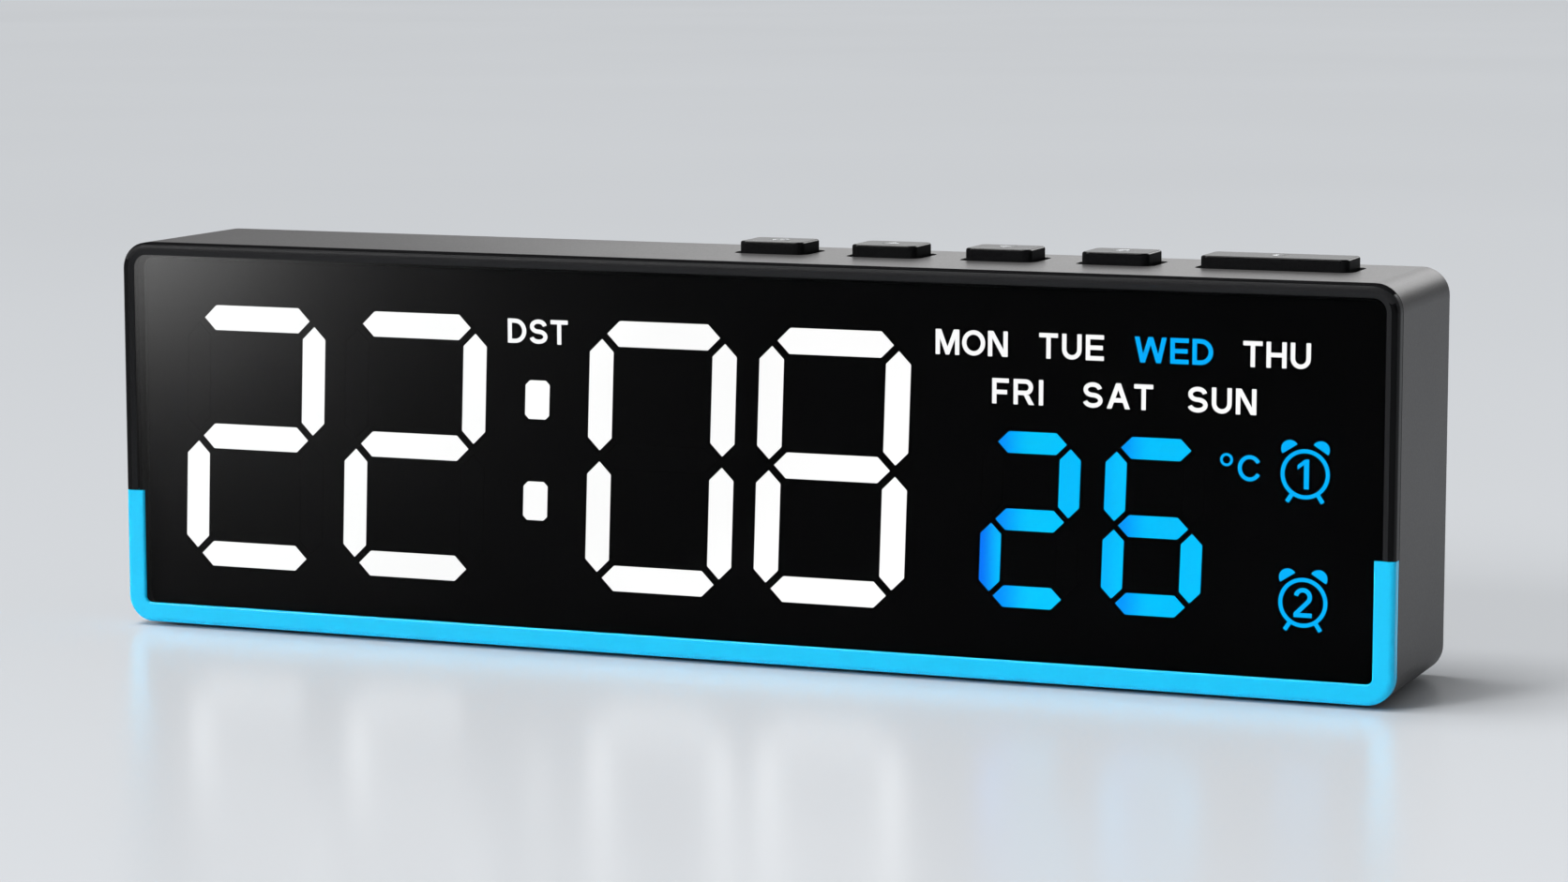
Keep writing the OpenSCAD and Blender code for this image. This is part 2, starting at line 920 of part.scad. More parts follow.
// Flat cable: one leg lies along +x from the board it comes from, the other runs down the display board
module ribbon_profile(reach) {
    translate([ribbon_bend + ribbon_t, -ribbon_t])
        square([reach - ribbon_bend - ribbon_t, ribbon_t]);
    translate([0, -ribbon_bend - ribbon_t - ribbon_drop])
        square([ribbon_t, ribbon_drop]);
    translate([ribbon_bend + ribbon_t, -ribbon_bend - ribbon_t])
        intersection() {
            difference() {
                circle(ribbon_bend + ribbon_t);
                circle(ribbon_bend);
            }
            translate([-ribbon_bend - ribbon_t, 0])
                square(ribbon_bend + ribbon_t);
        }
}

module ribbon(x, z, reach) {
    translate([x - ribbon_w / 2, board_far - case_d / 2, z])
        rotate([90, 0, 90])
            linear_extrude(ribbon_w)
                ribbon_profile(reach);
}

module button_ribbon() {
    color("#d8d2c4")
        ribbon(ribbon_x, button_board_base,
            key_depth - button_board_d / 2 - board_far + ribbon_lap);
}

module power_ribbon() {
    color("#d8d2c4")
        ribbon(socket_x, power_board_top - power_board_t,
            power_board_far - power_board_l - board_far + ribbon_lap);
}

// Rear cover with the battery bay, speaker seat, rails for the power board and its openings
module bay_outline(margin) {
    translate([bay_mid_x, bay_mid_z])
        square([bay_l + 2 * margin, bay_h + 2 * margin], center = true);
}

module door_tab_places() {
    for (sx = [-1, 1])
        translate([bay_mid_x + sx * tab_space / 2, 0, 0])
            children();
}

// Room that a door tab sweeps behind the cover's lip as the door tilts about its top outer edge
module tab_pocket() {
    sweep_r = norm([tab_reach, door_t]) + door_fit;
    pocket_w = tab_w + 2 * tab_side_play;
    intersection() {
        translate([-pocket_w / 2, door_top_z, case_d / 2 - cover_far])
            rotate([0, 90, 0])
                cylinder(r = sweep_r, h = pocket_w);
        translate([-pocket_w / 2, door_top_z - sweep_r, case_d / 2 - door_near - tab_t - door_fit / 2])
            cube([pocket_w, 2 * sweep_r, 2 * sweep_r]);
    }
}

module finger_outline(margin) {
    translate([bay_mid_x - finger_w / 2 - margin, door_base_z - finger_h - margin])
        square([finger_w + 2 * margin, finger_h + 2 * margin]);
}

module grille_slots() {
    rows = floor(grille_d / 2 / grille_pitch);
    for (i = [-rows:rows]) {
        slot_l = 2 * sqrt(pow(grille_d / 2, 2) - pow(i * grille_pitch, 2));
        translate([speaker_x, speaker_z + i * grille_pitch])
            rounded_rect(slot_l, grille_slot, grille_slot / 2 - end_flat);
    }
}

module socket_outline(margin) {
    translate([socket_x, socket_z])
        rounded_rect(socket_w + 2 * margin, socket_h + 2 * margin, socket_r + margin);
}

module power_board_outline(margin) {
    translate([socket_x, power_board_top - power_board_t / 2])
        square([power_board_w + 2 * margin, power_board_t + 2 * margin], center = true);
}

module guide_rails() {
    for (sx = [-1, 1])
        translate([socket_x + sx * (power_board_w / 2 - guide_groove + guide_rail_w / 2),
            power_board_top - power_board_t / 2])
            square([guide_rail_w, guide_rail_h], center = true);
}

module vent_slots() {
    for (i = [0:vent_count - 1])
        translate([sensor_x + (i - (vent_count - 1) / 2) * vent_pitch, power_board_top + vent_h])
            rounded_rect(vent_w, vent_h, vent_w / 2 - end_flat);
}

// Slots in the bay's end walls for the two leads
module lead_slots() {
    for (end = [-1, 1])
        translate([bay_mid_x + end * (bay_l + bay_wall) / 2, bay_mid_z + end * cell_pitch])
            square([bay_wall + past, lead_slot], center = true);
}

module rear_cover() {
    ring_r = speaker_d / 2 + speaker_fit;
    lead_depth = bay_floor_far + lead_slot;
    color("#3f4042")
        facing()
            difference() {
                union() {
                    slab(cover_near, cover_far)
                        translate([0, case_mid_z])
                            rounded_rect(case_w - 2 * cover_inset, case_h - 2 * cover_inset,
                                corner_r - cover_inset);
                    slab(bay_floor_near, cover_far)
                        bay_outline(bay_wall);
                    slab(door_near - finger_shelf, cover_far)
                        finger_outline(bay_wall);
                    slab(cover_near - speaker_ring_h, cover_near)
                        translate([speaker_x, speaker_z])
                            difference() {
                                circle(ring_r + speaker_ring_t);
                                circle(ring_r);
                            }
                    slab(cover_near - power_board_l, cover_near)
                        guide_rails();
                }
                slab(bay_floor_far, cover_far + past)
                    bay_outline(0);
                slab(door_near, cover_far + past) {
                    bay_outline(bay_wall);
                    finger_outline(door_fit);
                }
                door_tab_places()
                    tab_pocket();
                slab(lead_depth - lead_slot / 2, lead_depth + lead_slot / 2)
                    lead_slots();
                slab(cover_near - power_board_l - past, cover_near)
                    power_board_outline(guide_fit);
                slab(cover_near - past, cover_far + past) {
                    grille_slots();
                    socket_outline(socket_fit);
                    vent_slots();
                }
                for (spot = cover_screw_spots) {
                    rod(spot, big_screw[2] + hole_play, cover_near - past, cover_far + past);
                    rod(spot, counterbore_d, cover_far - counterbore_h, cover_far + past);
                }
            }
}

module cover_screws() {
    color("#8b8e92")
        facing()
            for (spot = cover_screw_spots)
                translate(at_depth(spot[0], spot[1], cover_far - counterbore_h))
                    mirror([0, 0, 1])
                        screw(big_screw);
}

// Door: a panel with two tabs behind the cover's lip, a finger catch and a ridged grip
module battery_door() {
    color("#3f4042")
        facing() {
            slab(door_near, cover_far) {
                translate([bay_mid_x - door_l / 2, door_base_z])
                    square([door_l, door_top_z - door_base_z]);
                finger_outline(0);
            }
            slab(door_near, door_near + tab_t)
                door_tab_places()
                    translate([-tab_w / 2, door_top_z - tab_t])
                        square([tab_w, tab_reach + tab_t]);
            slab(cover_far, cover_far + ridge_h)
                for (i = [0:ridge_count - 1])
                    translate([bay_mid_x - finger_w / 2, door_base_z + (i + 0.5) * ridge_pitch])
                        square([finger_w, ridge_w]);
        }
}

// Contact plates: one cell at each end of the chain, two cells bridged elsewhere
module battery_plates() {
    plate_near = bay_floor_far;
    plate_far = plate_near + plate_w;
    color("#c9ccd0")
        facing()
            slab(plate_near, plate_far)
                for (end = [-1, 1]) {
                    plate_x = bay_mid_x + end * (bay_l - plate_t) / 2;
                    translate([plate_x, bay_mid_z + end * cell_pitch])
                        square([plate_t, plate_w], center = true);
                    translate([plate_x, bay_mid_z - end * cell_pitch / 2])
                        square([plate_t, cell_pitch + plate_w], center = true);
                }
}

// Tapered contact springs, one at the negative end of each cell
function spring_ring_count() = spring_curls * spring_rings;
function spring_centre(k) =
    let (share = k / spring_ring_count(),
        r = spring_r + (spring_tip_r - spring_r) * share,
        turn = 360 * k / spring_rings)
    [r * cos(turn), r * sin(turn), spring_wire / 2 + (spring_free_l - spring_wire) * share];
function spring_point(k, j) =
    let (turn = 360 * k / spring_rings, round = 360 * j / spring_sides, c = spring_centre(k))
    c + spring_wire / 2 * [cos(round) * cos(turn), cos(round) * sin(turn), sin(round)];
spring_points = [for (k = [0:spring_ring_count()], j = [0:spring_sides - 1]) spring_point(k, j)];
function spring_index(k, j) = k * spring_sides + j % spring_sides;
spring_walls = [for (k = [0:spring_ring_count() - 1], j = [0:spring_sides - 1], half = [0, 1])
    half == 0 ? [spring_index(k, j), spring_index(k + 1, j), spring_index(k + 1, j + 1)]
        : [spring_index(k, j), spring_index(k + 1, j + 1), spring_index(k, j + 1)]];
spring_ends = [for (j = [1:spring_sides - 2], end = [0, 1])
    end == 0 ? [spring_index(0, 0), spring_index(0, j), spring_index(0, j + 1)]
        : [spring_index(spring_ring_count(), 0), spring_index(spring_ring_count(), j + 1),
            spring_index(spring_ring_count(), j)]];
spring_gap = min([for (a = [0:spring_ring_count()], b = [a + spring_rings / 2:1:spring_ring_count()])
    norm(spring_centre(a) - spring_centre(b))]) - spring_wire;
echo(str("least gap between the curls of a battery spring: ", spring_gap, " mm"));

module battery_springs() {
    color("#d2d4d8")
        facing()
            for (row = [-1:1]) {
                end = row == 0 ? -1 : 1;
                translate(at_depth(bay_mid_x + end * (bay_l / 2 - plate_t), bay_mid_z + row * cell_pitch,
                    bay_floor_far + cell_room + cell_d / 2))
                    rotate([0, -end * 90, 0])
                        polyhedron(spring_points, concat(spring_walls, spring_ends));
            }
}

// Leads from the two end plates through the bay walls to the display board
module battery_leads() {
    lead_depth = bay_floor_far + lead_slot;
    color("#b02020")
        facing()
            for (end = [-1, 1]) {
                x = bay_mid_x + end * bay_l / 2;
                z = bay_mid_z + end * cell_pitch;
                out = x + end * (bay_wall + lead_d);
                lead([at_depth(x, z, lead_depth), at_depth(out, z, lead_depth), at_depth(out, z, board_far)]);
            }
}

// Speaker: flange against the cover, tapered basket, magnet, and a cone with a dome facing the grille
module speaker() {
    r = speaker_d / 2;
    cone_r = r - speaker_flange_w - speaker_cone_w;
    basket_t = speaker_t - magnet_t;
    color("#2b2c2f")
        facing()
            translate(at_depth(speaker_x, speaker_z, cover_near))
                rotate_extrude()
                    polygon([[0, dome_dip], [dome_d / 2, cone_dip], [cone_r, roll_dip],
                        [r - speaker_flange_w, 0], [r, 0], [r, speaker_flange_t],
                        [r - speaker_flange_w, speaker_flange_t], [magnet_d / 2 + basket_step, basket_t],
                        [magnet_d / 2, basket_t], [magnet_d / 2, speaker_t], [0, speaker_t]]);
}

module speaker_leads() {
    start_x = speaker_x + speaker_d / 2 - lead_d;
    color("#303236")
        facing()
            for (sz = [-1, 1]) {
                z = speaker_z + sz * lead_d;
                lead([at_depth(start_x, z, cover_near - speaker_flange_t), at_depth(start_x, z, board_far)]);
            }
}

// Power board, its socket and the temperature sensor
module power_board() {
    color("#1d5b38")
        facing()
            slab(power_board_far - power_board_l, power_board_far)
                power_board_outline(0);
}

module usb_socket() {
    mouth = cover_far - socket_setback;
    back = mouth - socket_l;
    color("#c9ccd0")
        facing() {
            difference() {
                slab(back, mouth)
                    socket_outline(0);
                slab(back + 2 * socket_skin, mouth + past)
                    socket_outline(-socket_skin);
            }
            slab(back + socket_skin, mouth - tongue_setback)
                translate([socket_x, socket_z])
                    square([tongue_w, tongue_t], center = true);
        }
}

module sensor_leg(sx) {
    translate([sx * sensor_leg_space / 2, 0, 0])
        rotate([-90, 0, 0])
            cylinder(d = sensor_leg_d, h = sensor_leg_h);
}

module temperature_sensor() {
    color("#20242c")
        facing()
            translate(at_depth(sensor_x, power_board_top, sensor_depth)) {
                for (sx = [-1, 1])
                    sensor_leg(sx);
                translate([0, sensor_leg_h, 0])
                    sphere(d = sensor_d);
            }
}

housing();
front_bezel();
accent_trim();
front_lens();
display_mask();
time_digit(0);  // hour_tens_digit
time_digit(1);  // hour_units_digit
colon_dots();
time_digit(2);  // minute_tens_digit
time_digit(3);  // minute_units_digit
temperature_digit(4);  // temperature_tens_digit
temperature_digit(5);  // temperature_units_digit
display_reflector();
display_board();
segment_leds();
controller_chip();
clock_crystal();
display_screws();
short_key(0);  // set_key
short_key(1);  // up_key
short_key(2);  // down_key
short_key(3);  // alarm_key
snooze_bar();
plunger(0);  // set_plunger
plunger(1);  // up_plunger
plunger(2);  // down_plunger
plunger(3);  // alarm_plunger
plunger(4);  // snooze_plunger
switch_bodies();
button_board();
board_screws();
button_ribbon();
rear_cover();
cover_screws();
battery_door();
battery_plates();
battery_springs();
battery_leads();
speaker();
speaker_leads();
power_board();
usb_socket();
power_ribbon();
temperature_sensor();
rubber_feet();
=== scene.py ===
import json
import math

import bmesh
import bpy
from mathutils import Matrix, Vector

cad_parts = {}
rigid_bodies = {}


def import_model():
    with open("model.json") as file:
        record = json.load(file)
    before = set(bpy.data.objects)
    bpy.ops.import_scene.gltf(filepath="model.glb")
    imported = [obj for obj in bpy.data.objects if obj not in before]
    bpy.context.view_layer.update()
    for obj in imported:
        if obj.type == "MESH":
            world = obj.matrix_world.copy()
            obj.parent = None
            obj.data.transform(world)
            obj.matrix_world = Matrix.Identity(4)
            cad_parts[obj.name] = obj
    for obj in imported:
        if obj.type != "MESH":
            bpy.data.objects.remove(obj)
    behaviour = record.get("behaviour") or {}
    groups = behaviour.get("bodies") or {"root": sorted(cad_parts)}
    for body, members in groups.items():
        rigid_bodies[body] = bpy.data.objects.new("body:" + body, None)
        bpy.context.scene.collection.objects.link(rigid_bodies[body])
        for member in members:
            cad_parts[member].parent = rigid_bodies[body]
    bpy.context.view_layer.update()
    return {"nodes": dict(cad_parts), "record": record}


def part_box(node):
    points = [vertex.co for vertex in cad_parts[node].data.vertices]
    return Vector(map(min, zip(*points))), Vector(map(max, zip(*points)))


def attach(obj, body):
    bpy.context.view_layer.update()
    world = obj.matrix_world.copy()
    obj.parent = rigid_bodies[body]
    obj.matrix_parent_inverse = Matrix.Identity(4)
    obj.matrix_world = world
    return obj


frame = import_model()
cadNodes = frame["nodes"]
mm = 0.001
print("frame loaded:", len(cadNodes), "nodes")


# Node maths: a Wire is a socket that can be added, multiplied and so on
class Wire:
    def __init__(self, nodes, socket):
        self.nodes = nodes
        self.socket = socket

    def maths(self, operation, first, second):
        return self.nodes.node("ShaderNodeMath", {"operation": operation}, {0: first, 1: second})

    def __add__(self, other):
        return self.maths("ADD", self, other)

    def __radd__(self, other):
        return self.maths("ADD", other, self)

    def __sub__(self, other):
        return self.maths("SUBTRACT", self, other)

    def __rsub__(self, other):
        return self.maths("SUBTRACT", other, self)

    def __mul__(self, other):
        return self.maths("MULTIPLY", self, other)

    def __rmul__(self, other):
        return self.maths("MULTIPLY", other, self)

    def __mod__(self, other):
        return self.maths("MODULO", self, other)

    def ramp(self, low, high):  # eases from 0 to 1 between low and high
        return self.nodes.node("ShaderNodeMapRange", {"interpolation_type": "SMOOTHSTEP"},
                               {"Value": self, "From Min": low, "From Max": high})


class Nodes:  # a node tree in the making
    def __init__(self, tree):
        self.tree = tree
        self.tree.nodes.clear()

    def node(self, kind, settings=None, sockets=None, out=0):
        made = self.tree.nodes.new(kind)
        for key, value in (settings or {}).items():
            setattr(made, key, value)
        for key, value in (sockets or {}).items():
            for part in value if isinstance(value, list) else [value]:
                if isinstance(part, Wire):
                    self.tree.links.new(part.socket, made.inputs[key])
                else:
                    made.inputs[key].default_value = part
        return Wire(self, made.outputs[out]) if made.outputs else None

    def vector(self, x, y, z):
        return self.node("ShaderNodeCombineXYZ", sockets={0: x, 1: y, 2: z})


class Look(Nodes):  # a material
    def __init__(self, name):
        self.material = bpy.data.materials.new(name)
        self.material.use_nodes = True
        super().__init__(self.material.node_tree)
        self.place = self.node("ShaderNodeTexCoord", out="Object")

    def along(self, axis):  # x, y or z of the object, in metres
        return self.node("ShaderNodeSeparateXYZ", sockets={0: self.place}, out="xyz".index(axis))

    def stretched(self, scale):
        return self.node("ShaderNodeMapping", sockets={"Vector": self.place, "Scale": scale})

    def noise(self, size, detail=2.0, place=None):  # size of a grain in mm
        return self.node("ShaderNodeTexNoise", sockets={"Vector": place or self.place,
                                                        "Scale": 1 / (size * mm), "Detail": detail})

    def cells(self, size):  # size of a cell in mm
        return self.node("ShaderNodeTexVoronoi", sockets={"Vector": self.place, "Scale": 1 / (size * mm)})

    def mix(self, share, first, second):
        return self.node("ShaderNodeMix", {"data_type": "RGBA"}, {0: share, 6: first, 7: second}, out=2)

    def bump(self, height, depth):  # depth of the relief in mm
        return self.node("ShaderNodeBump",
                         sockets={"Height": height, "Distance": depth * mm, "Strength": 1.0})

    def done(self, sockets, normal=None):
        if normal:
            sockets = {**sockets, "Normal": normal}
        shader = self.node("ShaderNodeBsdfPrincipled", sockets=sockets)
        self.node("ShaderNodeOutputMaterial", sockets={"Surface": shader})
        return self.material


class Shape(Nodes):  # a Geometry Nodes tree with a named input for each size
    def __init__(self, name, sizes):
        self.group = bpy.data.node_groups.new(name, "GeometryNodeTree")
        self.sizes = sizes
        super().__init__(self.group)
        for label, value in sizes.items():
            kind = "NodeSocketInt" if isinstance(value, int) else "NodeSocketFloat"
            self.group.interface.new_socket(label, in_out="INPUT", socket_type=kind)
        self.group.interface.new_socket("Geometry", in_out="OUTPUT", socket_type="NodeSocketGeometry")
        self.start = self.tree.nodes.new("NodeGroupInput")

    def size(self, label):
        return Wire(self, self.start.outputs[label])

    def block(self, x, y, z):
        return self.node("GeometryNodeMeshCube", sockets={"Size": self.vector(x, y, z)}, out="Mesh")

    def moved(self, geometry, x, y, z):
        return self.node("GeometryNodeTransform",
                         sockets={"Geometry": geometry, "Translation": self.vector(x, y, z)})

    def joined(self, *geometries):
        return self.node("GeometryNodeJoinGeometry", sockets={"Geometry": list(geometries)})

    def row(self, geometry, count, step, **sockets):  # copies in a row from the origin
        points = self.node("GeometryNodeMeshLine", sockets={"Count": count, "Offset": step})
        return self.node("GeometryNodeInstanceOnPoints",
                         sockets={"Points": points, "Instance": geometry, **sockets})

    def mesh(self, geometry, material):  # the finished tree as a plain mesh
        whole = self.node("GeometryNodeRealizeInstances", sockets={"Geometry": geometry})
        painted = self.node("GeometryNodeSetMaterial", sockets={"Geometry": whole, "Material": material})
        self.node("NodeGroupOutput", sockets={"Geometry": painted})
        holder = bpy.data.objects.new(self.group.name, bpy.data.meshes.new(self.group.name))
        bpy.context.scene.collection.objects.link(holder)
        modifier = holder.modifiers.new("shape", "NODES")
        modifier.node_group = self.group
        for item in self.group.interface.items_tree:
            if item.in_out == "INPUT":
                modifier[item.identifier] = self.sizes[item.name]
        evaluated = holder.evaluated_get(bpy.context.evaluated_depsgraph_get())
        plain = bpy.data.meshes.new_from_object(evaluated)
        holder.modifiers.remove(modifier)
        bpy.data.objects.remove(holder)
        return plain


def shade(colour, times):
    return tuple(min(1.0, part * times) for part in colour[:3]) + (1.0,)


def grey(light):
    return (light, light, light, 1.0)


def srgb(red, green, blue):  # a colour as a screen shows it, 0 to 255, as light
    def light(part):
        part /= 255
        return part / 12.92 if part <= 0.04045 else ((part + 0.055) / 1.055) ** 2.4
    return light(red), light(green), light(blue), 1.0


# Moulded plastics: a fine spark-eroded grain, faint cloudy tone and grain in the gloss
mouldedGrain = {"cloud": 14.0, "speckSize": 1.6, "speckRelief": 0.4, "tones": (0.25, 0.75),
                "glossSpread": 0.12, "bend": 1.5, "specular": 0.5}
plasticFinishes = {
    "case_plastic": {"colour": srgb(76, 75, 75), "spread": 0.10, "grain": 0.22, "depth": 0.010,
                     "roughness": 0.38, "specular": 0.09},
    "cover_plastic": {"colour": srgb(50, 50, 52), "spread": 0.12, "grain": 0.30, "depth": 0.018,
                      "roughness": 0.55, "specular": 0.4},
    "frame_black": {"colour": srgb(5, 5, 6), "spread": 0.15, "grain": 0.18, "depth": 0.001,
                    "roughness": 0.16, "specular": 0.09, "glossSpread": 0.06},
    # The next two are grey copies of frame_black for faces chosen by their direction: a paler one with a
    # little gloss, a painted sheen, and one without gloss, a painted shade.
    "frameSatinPaintedSheen": {"colour": srgb(30, 30, 31), "spread": 0.1, "grain": 0.18, "depth": 0.002,
                   "roughness": 0.4, "specular": 0.12},
    "frameMattPaintedShade": {"colour": srgb(22, 22, 23), "spread": 0.1, "grain": 0.18, "depth": 0.004,
                  "roughness": 0.6, "specular": 0.0},
    "key_black": {"colour": srgb(7, 7, 8), "spread": 0.15, "grain": 0.25, "depth": 0.001,
                  "roughness": 0.15, "specular": 0.08, "glossSpread": 0.05},
    # A paler copy of key_black with almost no gloss, for the faces of a key that don't point up: painted
    # light on the fronts, painted shade on the sides.
    "keySidePaintedLightAndShade": {"colour": srgb(26, 26, 27), "spread": 0.15, "grain": 0.25, "depth": 0.001,
                "roughness": 0.3, "specular": 0.005},
    "keyPrint": {"colour": srgb(196, 198, 200), "spread": 0.05, "grain": 0.12, "depth": 0.002,
                 "roughness": 0.5, "specular": 0.3},
    "trim_blue": {"colour": srgb(16, 204, 255), "spread": 0.012, "grain": 0.2, "depth": 0.0005,
                  "roughness": 0.24, "specular": 0.25, "glossSpread": 0.05},
    "mask_black": {"colour": srgb(6, 6, 7), "spread": 0.2, "grain": 0.15, "depth": 0.002,
                   "roughness": 0.85, "specular": 0.1},
    "chip_black": {"colour": srgb(34, 34, 37), "spread": 0.12, "grain": 0.12, "depth": 0.006,
                   "roughness": 0.6},
    "switch_ivory": {"colour": srgb(216, 211, 196), "spread": 0.04, "grain": 0.2, "depth": 0.003,
                     "roughness": 0.45},
    "switch_black": {"colour": srgb(48, 49, 52), "spread": 0.1, "grain": 0.2, "depth": 0.004,
                     "roughness": 0.5},
    "lead_red": {"colour": srgb(172, 28, 26), "spread": 0.06, "grain": 0.3, "depth": 0.004,
                 "roughness": 0.4},
    "lead_black": {"colour": srgb(40, 41, 45), "spread": 0.1, "grain": 0.3, "depth": 0.004,
                   "roughness": 0.4},
    "sensor_epoxy": {"colour": srgb(22, 26, 40), "spread": 0.1, "grain": 0.4, "depth": 0.01,
                     "roughness": 0.2},
    "diode": {"colour": srgb(240, 222, 150), "spread": 0.06, "grain": 0.2, "depth": 0.004,
              "roughness": 0.25},
    "foot_rubber": {"colour": srgb(30, 30, 31), "spread": 0.15, "grain": 0.35, "depth": 0.03,
                    "roughness": 0.8},
}


def moulded(name, finish):
    look = Look(name)
    grain = look.noise(finish["grain"], 3.0)
    cloud = look.noise(mouldedGrain["cloud"])
    speck = look.cells(finish["grain"] * mouldedGrain["speckSize"])
    share = (cloud * 0.5 + speck * 0.5).ramp(*mouldedGrain["tones"])
    darker = shade(finish["colour"], 1 - finish["spread"])
    paler = shade(finish["colour"], 1 + finish["spread"])
    glossSpread = finish.get("glossSpread", mouldedGrain["glossSpread"])
    sockets = {"Base Color": look.mix(share, darker, paler),
               "Roughness": finish["roughness"] + (grain - 0.5) * glossSpread, "IOR": mouldedGrain["bend"],
               "Specular IOR Level": finish.get("specular", mouldedGrain["specular"])}
    return look.done(sockets, look.bump(grain + speck * mouldedGrain["speckRelief"], finish["depth"]))


# Plated metal with drawn lines along one axis
platedGrain = {"line": 1.0, "stain": 6.0, "tones": (0.3, 0.75), "dark": 0.82, "pale": 1.08,
               "glossSpread": 0.25}
metalFinishes = {
    "bright_metal": {"colour": srgb(205, 206, 209), "roughness": 0.26, "lines": (0.3, 0.05, 6.0),
                     "depth": 0.002},
    "screw_steel": {"colour": srgb(176, 178, 182), "roughness": 0.32, "lines": (3.0, 3.0, 3.0),
                    "depth": 0.004},
    "contact_metal": {"colour": srgb(208, 209, 211), "roughness": 0.24, "lines": (5.0, 0.3, 0.3),
                      "depth": 0.002},
    "contactGold": {"colour": srgb(222, 184, 96), "roughness": 0.22, "lines": (0.3, 6.0, 0.3),
                    "depth": 0.001},
}


def plated(name, finish):
    look = Look(name)
    lines = look.noise(platedGrain["line"], 3.0, look.stretched(finish["lines"]))
    share = look.noise(platedGrain["stain"], 3.0).ramp(*platedGrain["tones"])
    tone = look.mix(share, shade(finish["colour"], platedGrain["dark"]),
                    shade(finish["colour"], platedGrain["pale"]))
    roughness = finish["roughness"] + (lines - 0.5) * platedGrain["glossSpread"]
    return look.done({"Base Color": tone, "Roughness": roughness, "Metallic": 1.0},
                     look.bump(lines, finish["depth"]))


# Light boxes of the display: white inside, painted black along the front edge
boxFinish = {"paintEnds": (1.2, 1.6), "paint": srgb(8, 8, 9), "grain": 0.2, "depth": 0.004,
             "whites": (srgb(226, 226, 222), srgb(238, 238, 234)), "roughness": 0.5, "glossSpread": 0.1}


def lightBoxes(name):
    look = Look(name)
    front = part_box("display_reflector")[0].y
    paintStart, paintEnd = (front + reach * mm for reach in boxFinish["paintEnds"])
    grain = look.noise(boxFinish["grain"], 3.0)
    white = look.mix(grain, *boxFinish["whites"])
    tone = look.mix(look.along("y").ramp(paintStart, paintEnd), boxFinish["paint"], white)
    roughness = boxFinish["roughness"] + grain * boxFinish["glossSpread"]
    return look.done({"Base Color": tone, "Roughness": roughness}, look.bump(grain, boxFinish["depth"]))


# Circuit board: lacquer over copper tracks
boardFinish = {"grounds": (srgb(18, 84, 50), srgb(26, 102, 60)), "cloud": 8.0, "tones": (0.3, 0.7),
               "track": srgb(58, 138, 84), "trackShow": 0.6, "tracksPerMetre": 260.0, "trackWidth": 0.035,
               "trackLength": 1.7, "trackRow": 0.55, "trackShift": 0.37, "roughness": 0.32,
               "glossSpread": 0.15, "depth": 0.03}


def lacqueredBoard(name):
    look = Look(name)
    tracks = look.node("ShaderNodeTexBrick", {"offset": boardFinish["trackShift"]},
                       {"Vector": look.place, "Scale": boardFinish["tracksPerMetre"],
                        "Mortar Size": boardFinish["trackWidth"],
                        "Brick Width": boardFinish["trackLength"],
                        "Row Height": boardFinish["trackRow"]}, out="Fac")
    share = look.noise(boardFinish["cloud"]).ramp(*boardFinish["tones"])
    ground = look.mix(share, *boardFinish["grounds"])
    tone = look.mix(tracks * boardFinish["trackShow"], ground, boardFinish["track"])
    roughness = boardFinish["roughness"] + look.noise(0.4) * boardFinish["glossSpread"]
    return look.done({"Base Color": tone, "Roughness": roughness}, look.bump(tracks, boardFinish["depth"]))


# Flat cable: grey conductors side by side in a pale film
cableFinish = {"film": srgb(214, 207, 190), "conductor": srgb(158, 150, 138), "linesPerMetre": 314.0,
               "edge": (0.55, 0.75), "roughness": 0.45, "glossSpread": 0.1, "depth": 0.05}


def flatCable(name):
    look = Look(name)
    stripes = look.node("ShaderNodeTexWave", {"bands_direction": "X", "wave_profile": "SIN"},
                        {"Vector": look.place, "Scale": cableFinish["linesPerMetre"], "Distortion": 0.0},
                        out="Fac")
    tone = look.mix(stripes.ramp(*cableFinish["edge"]), cableFinish["film"], cableFinish["conductor"])
    roughness = cableFinish["roughness"] + look.noise(0.5) * cableFinish["glossSpread"]
    return look.done({"Base Color": tone, "Roughness": roughness},
                     look.bump(stripes, cableFinish["depth"]))


# Speaker: pressed black frame with a paper cone
coneFinish = {"papers": (srgb(30, 30, 32), srgb(50, 49, 48)), "fibre": 0.5, "tones": (0.35, 0.7),
              "roughness": 0.7, "glossSpread": 0.2, "depth": 0.04}


def paperCone(name):
    look = Look(name)
    fibre = look.noise(coneFinish["fibre"], 5.0)
    tone = look.mix(fibre.ramp(*coneFinish["tones"]), *coneFinish["papers"])
    roughness = coneFinish["roughness"] + fibre * coneFinish["glossSpread"]
    return look.done({"Base Color": tone, "Roughness": roughness}, look.bump(fibre, coneFinish["depth"]))


# Display window: smoked clear plastic under a soft, thin gloss
windowFinish = {"smoke": 0.42, "smokeSpread": 0.03, "haze": 30.0, "tones": (0.3, 0.7), "bend": 1.045,
                "coat": 0.03, "coatSpread": 0.08, "coatRoughness": 0.135}


def smokedWindow(name):
    look = Look(name)
    haze = look.noise(windowFinish["haze"])
    darker = grey(windowFinish["smoke"] * (1 - windowFinish["smokeSpread"]))
    paler = grey(windowFinish["smoke"] * (1 + windowFinish["smokeSpread"]))
    spread = windowFinish["coatSpread"]
    coat = windowFinish["coat"] * (1 - spread + haze * (2 * spread))
    return look.done({"Base Color": look.mix(haze.ramp(*windowFinish["tones"]), darker, paler),
                      "Roughness": 0.0, "IOR": windowFinish["bend"], "Transmission Weight": 1.0,
                      "Coat Weight": coat, "Coat Roughness": windowFinish["coatRoughness"]})


